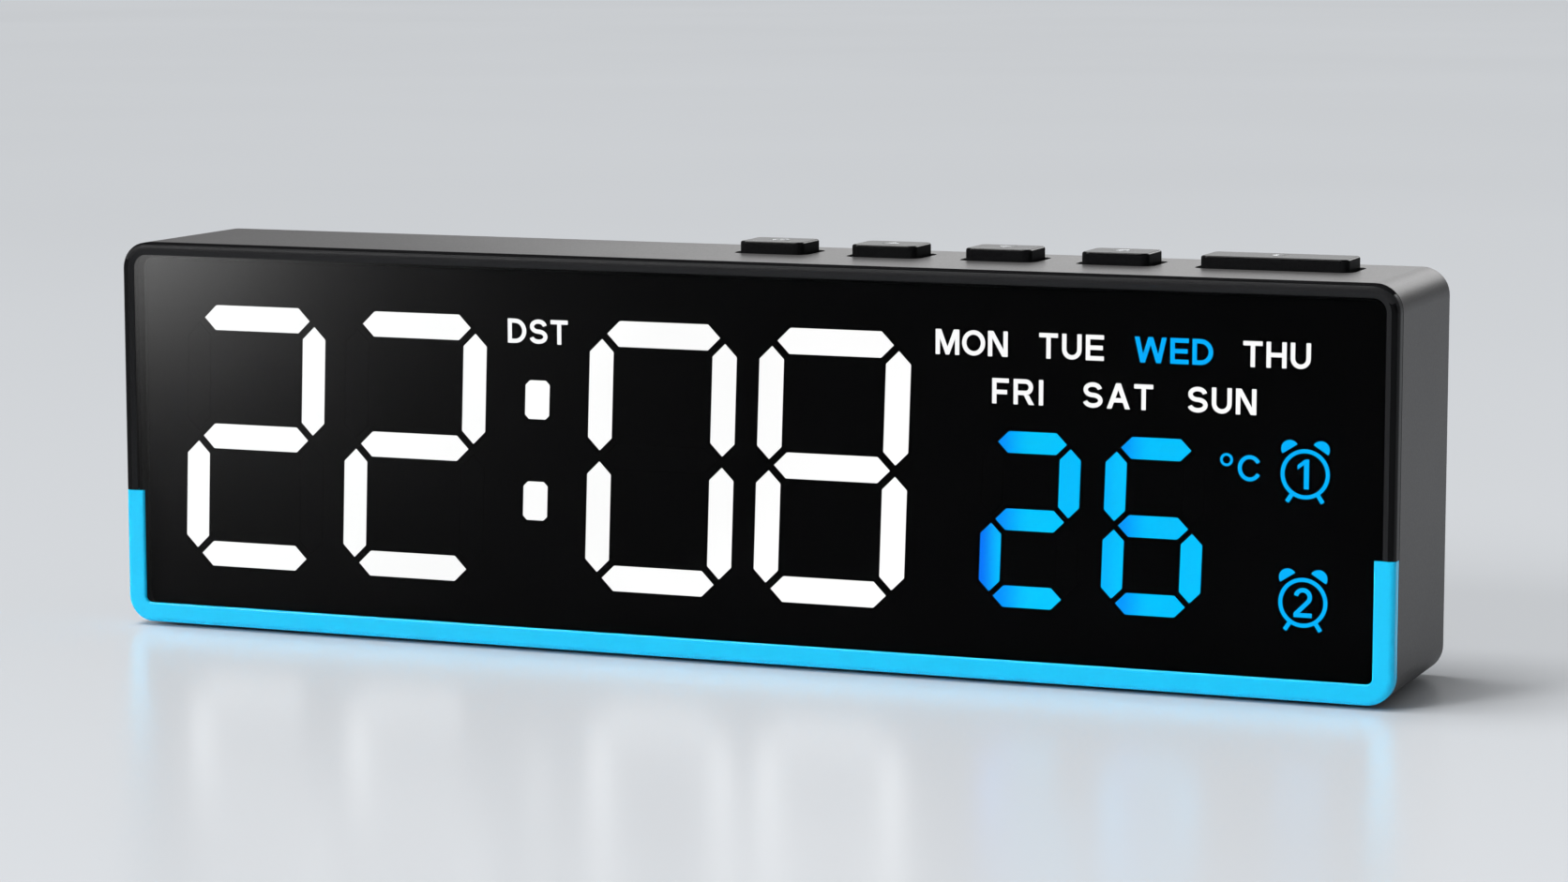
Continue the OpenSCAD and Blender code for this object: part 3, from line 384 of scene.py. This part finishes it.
# Lit segment: a milky diffuser, deeper in colour from its left for a short reach
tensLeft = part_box("temperature_tens_digit")[0].x
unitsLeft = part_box("temperature_units_digit")[0].x
barStart = 2.2 * mm  # from the left of a blue digit to its level segments
glowLook = {"strength": 2.4, "milk": 2.4, "milkShare": 0.06, "plastic": grey(0.01), "roughness": 0.6,
            "specular": 0.1}
segmentFinishes = {
    "timeGlow": {"dim": srgb(251, 252, 252), "bright": srgb(255, 255, 255), "left": -80 * mm,
                 "reach": 100 * mm},
    "tensSide": {"dim": srgb(0, 106, 246), "bright": srgb(0, 192, 255), "left": tensLeft,
                 "reach": 3.0 * mm},
    "tensBar": {"dim": srgb(0, 140, 254), "bright": srgb(0, 199, 255), "left": tensLeft + barStart,
                "reach": 4.4 * mm},
    "unitsSide": {"dim": srgb(0, 178, 253), "bright": srgb(0, 195, 255), "left": unitsLeft,
                  "reach": 2.4 * mm},
    "unitsBar": {"dim": srgb(0, 148, 253), "bright": srgb(0, 195, 255), "left": unitsLeft + barStart,
                 "reach": 4.0 * mm},
    "legendWhite": {"dim": srgb(248, 249, 250), "bright": srgb(255, 255, 255), "left": -40 * mm,
                    "reach": 120 * mm},
    "legendBlue": {"dim": srgb(0, 172, 255), "bright": srgb(0, 180, 255), "left": 40 * mm,
                   "reach": 40 * mm},
}


def litSegment(name, finish):
    look = Look(name)
    across = look.along("x").ramp(finish["left"], finish["left"] + finish["reach"])
    milk = look.noise(glowLook["milk"], 3.0)
    share = across * (1 - glowLook["milkShare"]) + milk * glowLook["milkShare"]
    return look.done({"Base Color": glowLook["plastic"], "Roughness": glowLook["roughness"],
                      "Specular IOR Level": glowLook["specular"],
                      "Emission Color": look.mix(share, finish["dim"], finish["bright"]),
                      "Emission Strength": glowLook["strength"]})


# Unlit segment: the same diffuser in the dark
unlitFinish = {"tones": (srgb(6, 6, 7), srgb(9, 9, 10)), "milk": 1.2, "roughness": 0.7, "glossSpread": 0.2,
               "specular": 0.1}


def darkSegment(name):
    look = Look(name)
    milk = look.noise(unlitFinish["milk"])
    return look.done({"Base Color": look.mix(milk, *unlitFinish["tones"]),
                      "Roughness": unlitFinish["roughness"] + milk * unlitFinish["glossSpread"],
                      "Specular IOR Level": unlitFinish["specular"]})


finishes = {slot: moulded(slot, finish) for slot, finish in plasticFinishes.items()}
finishes.update({slot: plated(slot, finish) for slot, finish in metalFinishes.items()})
finishes.update({name: litSegment(name, finish) for name, finish in segmentFinishes.items()})
finishes["reflector_white"] = lightBoxes("reflector_white")
finishes["board_green"] = lacqueredBoard("board_green")
finishes["ribbon_cable"] = flatCable("ribbon_cable")
finishes["speaker_black"] = paperCone("speaker_black")
finishes["window"] = smokedWindow("window")
finishes["unlit"] = darkSegment("unlit")
finishes["digit_white"] = finishes["timeGlow"]
finishes["digit_blue"] = finishes["unitsSide"]


def dress(node, *names):  # gives a node these finishes, for its faces to choose from
    mesh = cadNodes[node].data
    mesh.materials.clear()
    for name in names:
        mesh.materials.append(finishes[name])
    return mesh


for part in frame["record"]["subparts"]:
    dress(part["node"], part["material_slot"])
print("finishes made:", len(finishes))

# Front frame: one black plastic, glossy in front beside the window. The bevels round the window, the front
# of the top bar and the remaining sides get a paler grey copy, a painted sheen; the faces pointing up get a
# grey copy without gloss, a painted shade.
frameZones = {"topBar": 2.2 * mm, "slope": 0.1 * mm, "facesFront": -0.75, "facesUp": 0.6}
gloss, paintedSheen, paintedShade = range(3)
windowMiddle = sum(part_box("front_lens"), Vector()) / 2
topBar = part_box("front_bezel")[1].z - frameZones["topBar"]  # from here up the frame lies above the window
for polygon in dress("front_bezel", "frame_black", "frameSatinPaintedSheen", "frameMattPaintedShade").polygons:
    inwards = windowMiddle - polygon.center
    slope = polygon.normal.x * inwards.x + polygon.normal.z * inwards.z
    if polygon.normal.y < frameZones["facesFront"]:
        beside = slope <= frameZones["slope"] and polygon.center.z <= topBar
        polygon.material_index = gloss if beside else paintedSheen
    else:
        polygon.material_index = paintedShade if polygon.normal.z > frameZones["facesUp"] else paintedSheen

# Keys: gloss black on top; the fronts and sides get a paler copy with almost no gloss, painted light on the
# fronts and painted shade on the sides
keyNames = ("set_key", "up_key", "down_key", "alarm_key", "snooze_bar")
keyTopTilt = 0.3  # a face that points up less than this is a side
for key in keyNames:
    for polygon in dress(key, "key_black", "keySidePaintedLightAndShade").polygons:
        polygon.material_index = 0 if polygon.normal.z > keyTopTilt else 1
print("frame and keys dressed")


# Digits: which of the seven segments are lit
segmentsOf = {"0": "top upperLeft upperRight lowerLeft lowerRight bottom",
              "2": "top upperRight middle lowerLeft bottom",
              "6": "top upperLeft middle lowerLeft lowerRight bottom",
              "8": "top upperLeft upperRight middle lowerLeft lowerRight bottom"}
levelSegments = ("top", "middle", "bottom")
shownDigits = {"hour_tens_digit": "2", "hour_units_digit": "2", "minute_tens_digit": "0",
               "minute_units_digit": "8", "temperature_tens_digit": "2", "temperature_units_digit": "6"}
blueDigits = {"temperature_tens_digit": ("tensSide", "tensBar"),
              "temperature_units_digit": ("unitsSide", "unitsBar")}
digitDrawing = {"tall": 30.0 * mm, "tallStroke": 3.2 * mm, "smallStroke": 2.6 * mm, "lean": 1.8,
                "lineStart": 0.15, "lineEnd": 0.85}


def segmentLines(node):  # the centre line of each segment, upright
    low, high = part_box(node)
    height = high.z - low.z
    stroke = digitDrawing["tallStroke" if height > digitDrawing["tall"] else "smallStroke"]
    slant = math.tan(math.radians(digitDrawing["lean"]))
    halfHeight = (height - stroke) / 2
    halfWidth = (high.x - low.x - slant * (height - stroke) - stroke) / 2
    ends = {"top": ((-1, 1), (1, 1)), "middle": ((-1, 0), (1, 0)), "bottom": ((-1, -1), (1, -1)),
            "upperLeft": ((-1, 0), (-1, 1)), "upperRight": ((1, 0), (1, 1)),
            "lowerLeft": ((-1, -1), (-1, 0)), "lowerRight": ((1, -1), (1, 0))}
    lines = {name: [Vector((x * halfWidth, z * halfHeight)) for x, z in corners]
             for name, corners in ends.items()}
    return (low + high) / 2, slant, lines


def lineDistance(point, line):  # how far a point is from the middle stretch of a line
    start, end = line
    run = end - start
    share = (point - start).dot(run) / run.length_squared
    share = max(digitDrawing["lineStart"], min(digitDrawing["lineEnd"], share))
    return (point - start - run * share).length


def segmentAt(place, digit):  # the segment that a place on a digit belongs to
    middle, slant, lines = digit
    x, z = place.x - middle.x, place.z - middle.z
    upright = Vector((x - z * slant, z))
    return min(lines, key=lambda name: lineDistance(upright, lines[name]))


side, bar, dark = range(3)
for node, figure in shownDigits.items():
    digit = segmentLines(node)
    litSegments = segmentsOf[figure].split()
    for polygon in dress(node, *blueDigits.get(node, ("timeGlow", "timeGlow")), "unlit").polygons:
        segment = segmentAt(polygon.center, digit)
        if segment not in litSegments:
            polygon.material_index = dark
        else:
            polygon.material_index = bar if segment in levelSegments else side
print("digits lit")


# Flat drawings: outlines in mm, x to the right and z up, made into thin plates
def newPiece(name, mesh, material, body):
    piece = bpy.data.objects.new(name, mesh)
    bpy.context.scene.collection.objects.link(piece)
    mesh.materials.clear()
    mesh.materials.append(material)
    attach(piece, body)
    return piece


def addPlates(drawing, outlines, rings=(), shift=(0.0, 0.0)):  # a ring is an outer and an inner outline
    def corner(spot):
        return drawing.verts.new((spot[0] + shift[0], 0.0, spot[1] + shift[1]))
    for outline in outlines:
        drawing.faces.new([corner(spot) for spot in outline])
    for outer, inner in rings:
        outerVerts = [corner(spot) for spot in outer]
        innerVerts = [corner(spot) for spot in inner]
        for i in range(len(outer)):
            j = (i + 1) % len(outer)
            drawing.faces.new([outerVerts[i], outerVerts[j], innerVerts[j], innerVerts[i]])


def finishPlates(drawing, name, thickness, turn, place):  # thickens towards -y, then turns and places
    bmesh.ops.remove_doubles(drawing, verts=list(drawing.verts), dist=0.0005)
    grown = bmesh.ops.extrude_face_region(drawing, geom=list(drawing.faces))
    moved = [vert for vert in grown["geom"] if isinstance(vert, bmesh.types.BMVert)]
    bmesh.ops.translate(drawing, verts=moved, vec=(0.0, -thickness, 0.0))
    bmesh.ops.recalc_face_normals(drawing, faces=list(drawing.faces))
    mesh = bpy.data.meshes.new(name)
    drawing.to_mesh(mesh)
    drawing.free()
    mesh.transform(Matrix.Translation(place) @ turn @ Matrix.Scale(mm, 4))
    return mesh


def arc(middle, reach, start, end, steps=20):  # part of an ellipse, in degrees
    angles = [math.radians(start + (end - start) * i / steps) for i in range(steps + 1)]
    return [(middle[0] + reach[0] * math.cos(a), middle[1] + reach[1] * math.sin(a)) for a in angles]


def circle(middle, radius, steps=64):
    return arc(middle, (radius, radius), 0, 360, steps)[:-1]


def band(line, width):  # a stroke of one width along a line of points
    left, right = [], []
    for i, spot in enumerate(line):
        run = Vector(line[min(i + 1, len(line) - 1)]) - Vector(line[max(i - 1, 0)])
        aside = run.normalized() * width / 2
        left.append((spot[0] - aside.y, spot[1] + aside.x))
        right.append((spot[0] + aside.y, spot[1] - aside.x))
    return left + right[::-1]


# Letters: plain strokes, drawn from a letter's width w, height h and stroke s
def letterA(w, h, s):
    c, u, foot = w / 2, 1.1 * s, 0.25 * h

    def inside(z):
        return u + (c - u / 2) * z / h
    peak = (c - u) * h / (c - u / 2)
    low, high = (inside(foot), foot), (inside(foot + s), foot + s)
    leg = [(0, 0), (u, 0), low, high, (c, peak), (c, h), (c - u / 2, h)]
    bar = [low, (w - low[0], low[1]), (w - high[0], high[1]), high]
    return [leg, [(w - x, z) for x, z in leg[::-1]], bar], []


def letterC(w, h, s):
    opening = 31  # half the angle that the ends leave open
    end = math.cos(math.radians(opening))
    reach = ((w - s / 2 * (1 + end)) / (1 + end), (h - s) / 2)
    return [band(arc((s / 2 + reach[0], h / 2), reach, opening, 360 - opening, 36), s)], []


def letterD(w, h, s):
    bow = 0.6 * w
    middle = (w - bow, h / 2)
    outer = [(0, 0)] + arc(middle, (bow, h / 2), -90, 90) + [(0, h)]
    inner = [(s, s)] + arc(middle, (bow - s, h / 2 - s), -90, 90) + [(s, h - s)]
    return [], [(outer, inner)]


def letterE(w, h, s):
    bar, arm = (h - s) / 2, 0.94 * w
    return [[(0, 0), (w, 0), (w, s), (s, s), (s, bar), (arm, bar), (arm, bar + s), (s, bar + s),
             (s, h - s), (w, h - s), (w, h), (0, h)]], []


def letterF(w, h, s):
    bar, arm = 0.46 * h - s / 2, 0.9 * w
    return [[(0, 0), (s, 0), (s, bar), (arm, bar), (arm, bar + s), (s, bar + s), (s, h - s),
             (w, h - s), (w, h), (0, h)]], []


def letterH(w, h, s):
    bar = (h - s) / 2
    return [[(0, 0), (s, 0), (s, bar), (w - s, bar), (w - s, 0), (w, 0), (w, h), (w - s, h),
             (w - s, bar + s), (s, bar + s), (s, h), (0, h)]], []


def letterI(w, h, s):
    return [[(0, 0), (w, 0), (w, h), (0, h)]], []


def letterM(w, h, s):
    c, top, notch = w / 2, 1.3 * s, 0.3 * h
    slope = (h - notch) / (c - top)
    drop = slope * (s - top) + s * math.hypot(1, slope)
    tip = c - s - (h - drop) / slope
    return [[(0, 0), (s, 0), (s, h - drop), (c - tip, 0), (c + tip, 0), (w - s, h - drop), (w - s, 0),
             (w, 0), (w, h), (w - top, h), (c, notch), (top, h), (0, h)]], []


def letterN(w, h, s):
    top, drop = 1.25 * s, 1.57 * s  # width of the slanted stroke at its end, and where it meets the stem
    return [[(0, 0), (s, 0), (s, h - drop), (w - top, 0), (w, 0), (w, h), (w - s, h), (w - s, drop),
             (top, h), (0, h)]], []


def letterO(w, h, s):
    middle = (w / 2, h / 2)
    inner = (w / 2 - s, h / 2 - s)
    return [], [(arc(middle, middle, 0, 360, 48)[:-1], arc(middle, inner, 0, 360, 48)[:-1])]


def letterR(w, h, s):
    waist = 0.46 * h
    reach = (h - s / 2 - waist) / 2
    bow = arc((0.95 * w - s / 2 - reach, waist + reach), (reach, reach), 90, -90)
    hip = waist - s / 2
    return [[(0, 0), (s, 0), (s, h), (0, h)], band([(s, h - s / 2)] + bow + [(s, waist)], s),
            [(w - 1.2 * s, 0), (w, 0), (0.5 * w + 1.2 * s, hip), (0.5 * w, hip)]], []


def letterS(w, h, s):
    reach = ((w - s) / 2, (h - s) / 4)
    upper = arc((w / 2, h - s / 2 - reach[1]), (0.92 * reach[0], reach[1]), 8, 270)
    lower = arc((w / 2, s / 2 + reach[1]), reach, 90, -168)
    return [band(upper + lower[1:], s)], []


def letterT(w, h, s):
    left, right = (w - s) / 2, (w + s) / 2
    return [[(left, 0), (right, 0), (right, h - s), (w, h - s), (w, h), (0, h), (0, h - s),
             (left, h - s)]], []


def letterU(w, h, s):
    reach = (w - s) / 2
    bow = arc((w / 2, w / 2), (reach, reach), 180, 360)
    return [band([(s / 2, h)] + bow + [(w - s / 2, h)], s)], []


def letterW(w, h, s):
    u = 1.06 * s
    near, far = w / 4 - u / 2, w / 4 + u / 2
    notch = 2 * u / (w - u)
    inner = near + w / 4 * notch
    return [[(0, h), (near, 0), (far, 0), (w / 2, h * (1 - 2 * u / w)), (w - far, 0), (w - near, 0),
             (w, h), (w - u, h), (w - inner, notch * h), (w / 2 + u / 2, h), (w / 2 - u / 2, h),
             (inner, notch * h), (u, h)]], []


def figureOne(w, h, s):
    w *= 0.75  # a figure as wide as the others stands to the left of its room
    flag, tip = 0.8 * h, 0.8 * s
    foot = flag - 0.9 * s
    slope = (h - flag) / (w - tip)
    return [[(w - s, 0), (w, 0), (w, h), (w - tip, h), (0, flag), (0, foot),
             (w - s, foot + slope * (w - s))]], []


def figureTwo(w, h, s):
    s *= 0.86  # curved strokes look heavier than straight ones
    reach = (w - s) / 2
    bow = arc((w / 2, h - s / 2 - reach), (reach, reach), 170, -40)
    stroke = band(bow, s)
    outside, inside = stroke[:len(bow)], stroke[len(bow):]
    fall = (outside[-1][1] - s) / (inside[0][1] - s)  # both edges of the slanted stroke run side by side
    foot = [(outside[-1][0] - inside[0][0] * fall, s), (w, s), (w, 0), (0, 0), (0, s)]
    return [outside + foot + inside], []


letters = {"A": (0.93, letterA), "C": (0.86, letterC), "D": (0.82, letterD), "E": (0.73, letterE),
           "F": (0.68, letterF), "H": (0.79, letterH), "I": (0.17, letterI), "M": (0.98, letterM),
           "N": (0.81, letterN), "O": (0.95, letterO), "R": (0.84, letterR), "S": (0.80, letterS),
           "T": (0.76, letterT), "U": (0.79, letterU), "W": (1.28, letterW), "1": (0.52, figureOne),
           "2": (0.62, figureTwo)}  # width as a share of the height, and the drawing


def word(drawing, text, left, right, base, height, stroke):  # letters spread from left to right
    widths = [letters[letter][0] * height for letter in text]
    space = (right - left - sum(widths)) / max(len(text) - 1, 1)
    for letter, width in zip(text, widths):
        outlines, rings = letters[letter][1](width, height, stroke)
        addPlates(drawing, outlines, rings, (left, base))
        left += width + space


# Legends on the display's mask
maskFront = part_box("display_mask")[0].y
legendPlate = {"thickness": 0.08, "stroke": 0.53, "capHeight": 3.09}
weekdays = {"topRow": 39.95, "lowRow": 34.22, "secondRow": ("FRI", "SAT", "SUN"), "today": "WED",
            "words": {"MON": (26.88, 36.11), "TUE": (40.14, 48.29), "WED": (52.16, 61.87),
                      "THU": (65.58, 73.81), "FRI": (34.18, 40.67), "SAT": (45.71, 54.50),
                      "SUN": (58.80, 67.26)}}
summerTime = {"text": "DST", "left": -30.62, "right": -22.32, "base": 39.15}
degrees = {"ring": (63.69, 28.73), "outer": 0.78, "ringStroke": 0.3, "left": 65.10, "right": 67.69,
           "base": 26.26, "height": 3.14, "stroke": 0.46}
alarmMark = {"centres": {"first_alarm_icon": (73.33, 27.43), "second_alarm_icon": (73.27, 12.02)},
             "outer": 2.99, "stroke": 0.47, "bellRadius": 1.06, "bellReach": 3.52, "bellTurn": 32.5,
             "footLength": 1.12, "footWidth": 0.5, "footTurn": 33.0, "footSink": 0.1, "figureHeight": 3.55,
             "figureStroke": 0.6}


def legend(name, drawing, finish):
    place = (0.0, maskFront, 0.0)
    mesh = finishPlates(drawing, name, legendPlate["thickness"], Matrix.Identity(4), place)
    return newPiece(name, mesh, finishes[finish], "case")


def capitals(drawing, text, left, right, base):
    word(drawing, text, left, right, base, legendPlate["capHeight"], legendPlate["stroke"])


def weekdayLegends():
    whiteWords, blueWord = bmesh.new(), bmesh.new()
    for text, (left, right) in weekdays["words"].items():
        drawing = blueWord if text == weekdays["today"] else whiteWords
        row = "lowRow" if text in weekdays["secondRow"] else "topRow"
        capitals(drawing, text, left, right, weekdays[row])
    capitals(whiteWords, summerTime["text"], summerTime["left"], summerTime["right"], summerTime["base"])
    legend("weekday_legend", whiteWords, "legendWhite")
    legend("today_legend", blueWord, "legendBlue")


def celsiusLegend():
    drawing = bmesh.new()
    ring, outer = degrees["ring"], degrees["outer"]
    addPlates(drawing, [], [(circle(ring, outer), circle(ring, outer - degrees["ringStroke"]))])
    word(drawing, "C", degrees["left"], degrees["right"], degrees["base"], degrees["height"],
         degrees["stroke"])
    legend("celsius_legend", drawing, "legendBlue")


def direction(degreesUp):  # a step of one in a direction, in degrees from the right
    turn = math.radians(degreesUp)
    return Vector((math.cos(turn), math.sin(turn)))


def alarmIcon(name, centre, figure):
    drawing = bmesh.new()
    outer = alarmMark["outer"]
    addPlates(drawing, [], [(circle(centre, outer), circle(centre, outer - alarmMark["stroke"]))])
    for hand in (-1, 1):
        bellTurn = 90 - hand * alarmMark["bellTurn"]  # direction of the bell from the middle of the ring
        bell = Vector(centre) + direction(bellTurn) * alarmMark["bellReach"]
        addPlates(drawing, [arc(bell, (alarmMark["bellRadius"],) * 2, bellTurn - 90, bellTurn + 90, 24)])
        along = direction(-90 + hand * alarmMark["footTurn"])
        ankle = Vector(centre) + along * (outer - alarmMark["footSink"])
        toe = ankle + along * alarmMark["footLength"]
        addPlates(drawing, [band([tuple(ankle), tuple(toe)], alarmMark["footWidth"])])
    height = alarmMark["figureHeight"]
    half = letters[figure][0] * height / 2
    word(drawing, figure, centre[0] - half, centre[0] + half, centre[1] - height / 2, height,
         alarmMark["figureStroke"])
    legend(name, drawing, "legendBlue")


weekdayLegends()
celsiusLegend()
for number, (name, centre) in enumerate(alarmMark["centres"].items(), start=1):
    alarmIcon(name, centre, str(number))
print("legends drawn")


# Small printed signs on the keys: a dial, two arrows, a bell and a moon, of radius r and stroke s
keySigns = {"thickness": 0.02, "size": 2.2, "stroke": 0.35, "towardsBack": 0.4}


def dialSign(r, s):
    hands = band([(0, 0.55 * r), (0, 0), (0.45 * r, 0)], s)
    return [hands], [(circle((0, 0), r), circle((0, 0), r - s))]


def arrowSign(r, s):
    return [[(-r, -0.6 * r), (r, -0.6 * r), (0, r)]], []


def downArrowSign(r, s):
    return [[(r, 0.6 * r), (-r, 0.6 * r), (0, -r)]], []


def bellSign(r, s):
    rim = [(-r, -0.55 * r), (r, -0.55 * r), (0.7 * r, -0.2 * r)]
    dome = arc((0, 0.25 * r), (0.7 * r, 0.75 * r), 0, 180, 16)
    clapper = arc((0, -0.7 * r), (0.3 * r, 0.3 * r), 180, 360, 10)
    return [rim + dome + [(-0.7 * r, -0.2 * r)], clapper], []


def moonSign(r, s):
    hollow = arc((0.42 * r, 0), (0.87 * r, 0.87 * r), 265, 95, 24)
    return [arc((0, 0), (r, r), 60, 300, 28) + hollow], []


lying = Matrix.Rotation(math.radians(-90), 4, "X")  # lays an upright drawing on its back, facing up
for key, sign in zip(keyNames, (dialSign, arrowSign, downArrowSign, bellSign, moonSign)):
    low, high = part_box(key)
    drawing = bmesh.new()
    addPlates(drawing, *sign(keySigns["size"] / 2, keySigns["stroke"]))
    place = ((low.x + high.x) / 2, (low.y + high.y) / 2 + keySigns["towardsBack"] * mm, high.z)
    mesh = finishPlates(drawing, key + "_sign", keySigns["thickness"], lying, place)
    newPiece(key + "_sign", mesh, finishes["keyPrint"], key)
print("key signs printed")


# Gold contacts on both faces of the inlet's tongue
contacts = {"Count": 12, "Pitch": 0.5 * mm, "Width": 0.26 * mm, "Length": 3.2 * mm, "Thickness": 0.05 * mm,
            "Tongue": 0.7 * mm}
contactSetback = 1.5 * mm  # from the mouth of the inlet to the ends of the contacts


def inletContacts():
    low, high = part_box("usb_socket")
    left = (low.x + high.x - contacts["Pitch"] * (contacts["Count"] - 1)) / 2
    depth = high.y - contactSetback - contacts["Length"] / 2
    level = (low.z + high.z) / 2
    shape = Shape("contactRow", contacts)
    strip = shape.block(shape.size("Width"), shape.size("Length"), shape.size("Thickness"))
    strips = shape.row(strip, shape.size("Count"), shape.vector(shape.size("Pitch"), 0.0, 0.0))
    rise = (shape.size("Tongue") + shape.size("Thickness")) * 0.5
    bothRows = shape.joined(shape.moved(strips, left, depth, level + rise),
                            shape.moved(strips, left, depth, level - rise))
    gold = finishes["contactGold"]
    newPiece("inlet_contacts", shape.mesh(bothRows, gold), gold, "case")


# Plus and minus signs on the floor of the battery bay, turned round from row to row
def polaritySigns():
    low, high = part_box("battery_plates")
    plateWidth = high.y - low.y
    shape = Shape("polaritySigns", {"Rows": 3, "Pitch": (high.z - low.z - plateWidth) / 2, "Arm": 3.2 * mm,
                                    "Stroke": 0.7 * mm, "Relief": 0.2 * mm, "Reach": 14.0 * mm})
    arm = shape.block(shape.size("Arm"), shape.size("Relief"), shape.size("Stroke"))
    stub = (shape.size("Arm") - shape.size("Stroke")) * 0.5
    post = shape.block(shape.size("Stroke"), shape.size("Relief"), stub)
    offset = (stub + shape.size("Stroke")) * 0.5
    plus = shape.joined(arm, shape.moved(post, 0.0, 0.0, offset),
                        shape.moved(post, 0.0, 0.0, 0.0 - offset))
    pair = shape.joined(shape.moved(plus, 0.0 - shape.size("Reach"), 0.0, 0.0),
                        shape.moved(arm, shape.size("Reach"), 0.0, 0.0))
    halfTurns = shape.node("GeometryNodeInputIndex") % 2.0 * math.pi
    rows = shape.row(pair, shape.size("Rows"), shape.vector(0.0, 0.0, shape.size("Pitch")),
                     Rotation=shape.vector(0.0, halfTurns, 0.0))
    placed = shape.moved(rows, (low.x + high.x) / 2, low.y + shape.size("Relief") * 0.5,
                         low.z + plateWidth / 2)
    plastic = finishes["cover_plastic"]
    newPiece("polarity_signs", shape.mesh(placed, plastic), plastic, "case")


inletContacts()
polaritySigns()
print("repeated details made")


# Stage: a pale floor and an even sky
studio = {"floorSize": 14.0, "floorColour": srgb(226, 229, 233), "floorSpread": 0.01, "floorCloud": 400.0,
          "floorRoughness": 0.22, "floorGlossSpread": 0.04, "floorSpecular": 0.4, "sky": 0.26,
          "skyColour": (0.96, 0.98, 1.0, 1.0)}


def paleFloor(name):
    look = Look(name)
    cloud = look.noise(studio["floorCloud"])
    tone = look.mix(cloud, shade(studio["floorColour"], 1 - studio["floorSpread"]),
                    shade(studio["floorColour"], 1 + studio["floorSpread"]))
    roughness = studio["floorRoughness"] + cloud * studio["floorGlossSpread"]
    return look.done({"Base Color": tone, "Roughness": roughness,
                      "Specular IOR Level": studio["floorSpecular"]})


floorMesh = bpy.data.meshes.new("floor")
half = studio["floorSize"] / 2
floorMesh.from_pydata([(-half, -half, 0), (half, -half, 0), (half, half, 0), (-half, half, 0)], [],
                      [(0, 1, 2, 3)])
floorMesh.materials.append(paleFloor("floorPale"))
floor = bpy.data.objects.new("floor", floorMesh)
bpy.context.scene.collection.objects.link(floor)

world = bpy.data.worlds.new("studioAir")
bpy.context.scene.world = world
world.use_nodes = True
air = world.node_tree.nodes["Background"]
air.inputs["Color"].default_value = studio["skyColour"]
air.inputs["Strength"].default_value = studio["sky"]
world.cycles.sampling_method = "NONE"  # an even sky needs no aiming

# Lamps: soft light from above and the front left, and sheens for parts of the clock
lamps = {
    "overhead": {"energy": 2.3, "angle": 35.0, "from": (-0.30, -0.10, 1.0), "lights": "stage"},
    "frontFill": {"energy": 1.5, "angle": 18.0, "from": (-0.7, -1.0, 0.55), "lights": "stage"},
    "edgeLight": {"energy": 0.7, "angle": 10.0, "from": (-0.37, 0.52, 0.77), "lights": "clock"},
    "backRim": {"energy": 0.5, "angle": 25.0, "from": (0.12, 0.92, 0.42), "lights": "clock"},
    "backSheen": {"energy": 0.1, "angle": 30.0, "from": (-0.33, 0.92, 0.25), "lights": "fittings"},
    "topSheen": {"energy": 0.42, "angle": 34.0, "from": (-0.139, 0.96, 0.242), "lights": "housing"},
    "sideGlow": {"energy": 0.3, "angle": 15.0, "from": (-0.92, 0.36, 0.05), "lights": "clock"},
    "windowGleam": {"energy": 0.4, "angle": 2.0, "from": (-0.5, -0.863, -0.072), "lights": "window"},
}
lampGroups = {lamp["lights"]: bpy.data.collections.new(lamp["lights"]) for lamp in lamps.values()}


def groupsOf(piece):  # which lamps light a piece
    if piece == floor:
        return ["stage"]
    if piece == cadNodes["front_lens"]:
        return ["window"]
    return ["stage", "clock", "housing" if piece == cadNodes["housing"] else "fittings"]


for piece in bpy.context.scene.objects:
    if piece.type == "MESH":
        for group in groupsOf(piece):
            lampGroups[group].objects.link(piece)
for name, lamp in lamps.items():
    light = bpy.data.lights.new(name, "SUN")
    light.energy = lamp["energy"]
    light.angle = math.radians(lamp["angle"])
    light.use_shadow = lamp["lights"] != "window"
    holder = bpy.data.objects.new(name, light)
    bpy.context.scene.collection.objects.link(holder)
    holder.rotation_euler = Vector(lamp["from"]).to_track_quat("Z", "Y").to_euler()
    holder.light_linking.receiver_collection = lampGroups[lamp["lights"]]

# Camera: place in mm, turns in degrees, and a focal length in pixels of the picture
cameraPlace = {"place": (204.87, -509.52, 97.18), "yaw": 21.63063, "pitch": 7.30927, "roll": -0.03804,
               "focalPixels": 4658.746, "imageWidth": 1672.0, "sensor": 36.0, "nearest": 10.0}
camera = bpy.data.objects.new("camera", bpy.data.cameras.new("camera"))
bpy.context.scene.collection.objects.link(camera)
bpy.context.scene.camera = camera
camera.data.sensor_width = cameraPlace["sensor"]
camera.data.lens = cameraPlace["focalPixels"] / cameraPlace["imageWidth"] * cameraPlace["sensor"]
camera.data.clip_start = cameraPlace["nearest"] * mm
yaw, pitch, roll = (math.radians(cameraPlace[turn]) for turn in ("yaw", "pitch", "roll"))
backwards = Vector((math.sin(yaw) * math.cos(pitch), -math.cos(yaw) * math.cos(pitch), math.sin(pitch)))
sideways = Vector((math.cos(yaw), math.sin(yaw), 0.0))
upwards = backwards.cross(sideways)
cameraRight = sideways * math.cos(roll) + upwards * math.sin(roll)
cameraUp = upwards * math.cos(roll) - sideways * math.sin(roll)
turned = Matrix((cameraRight, cameraUp, backwards)).transposed().to_4x4()
camera.matrix_world = Matrix.Translation(Vector(cameraPlace["place"]) * mm) @ turned
bpy.context.scene.view_settings.view_transform = "Standard"
print("stage set")
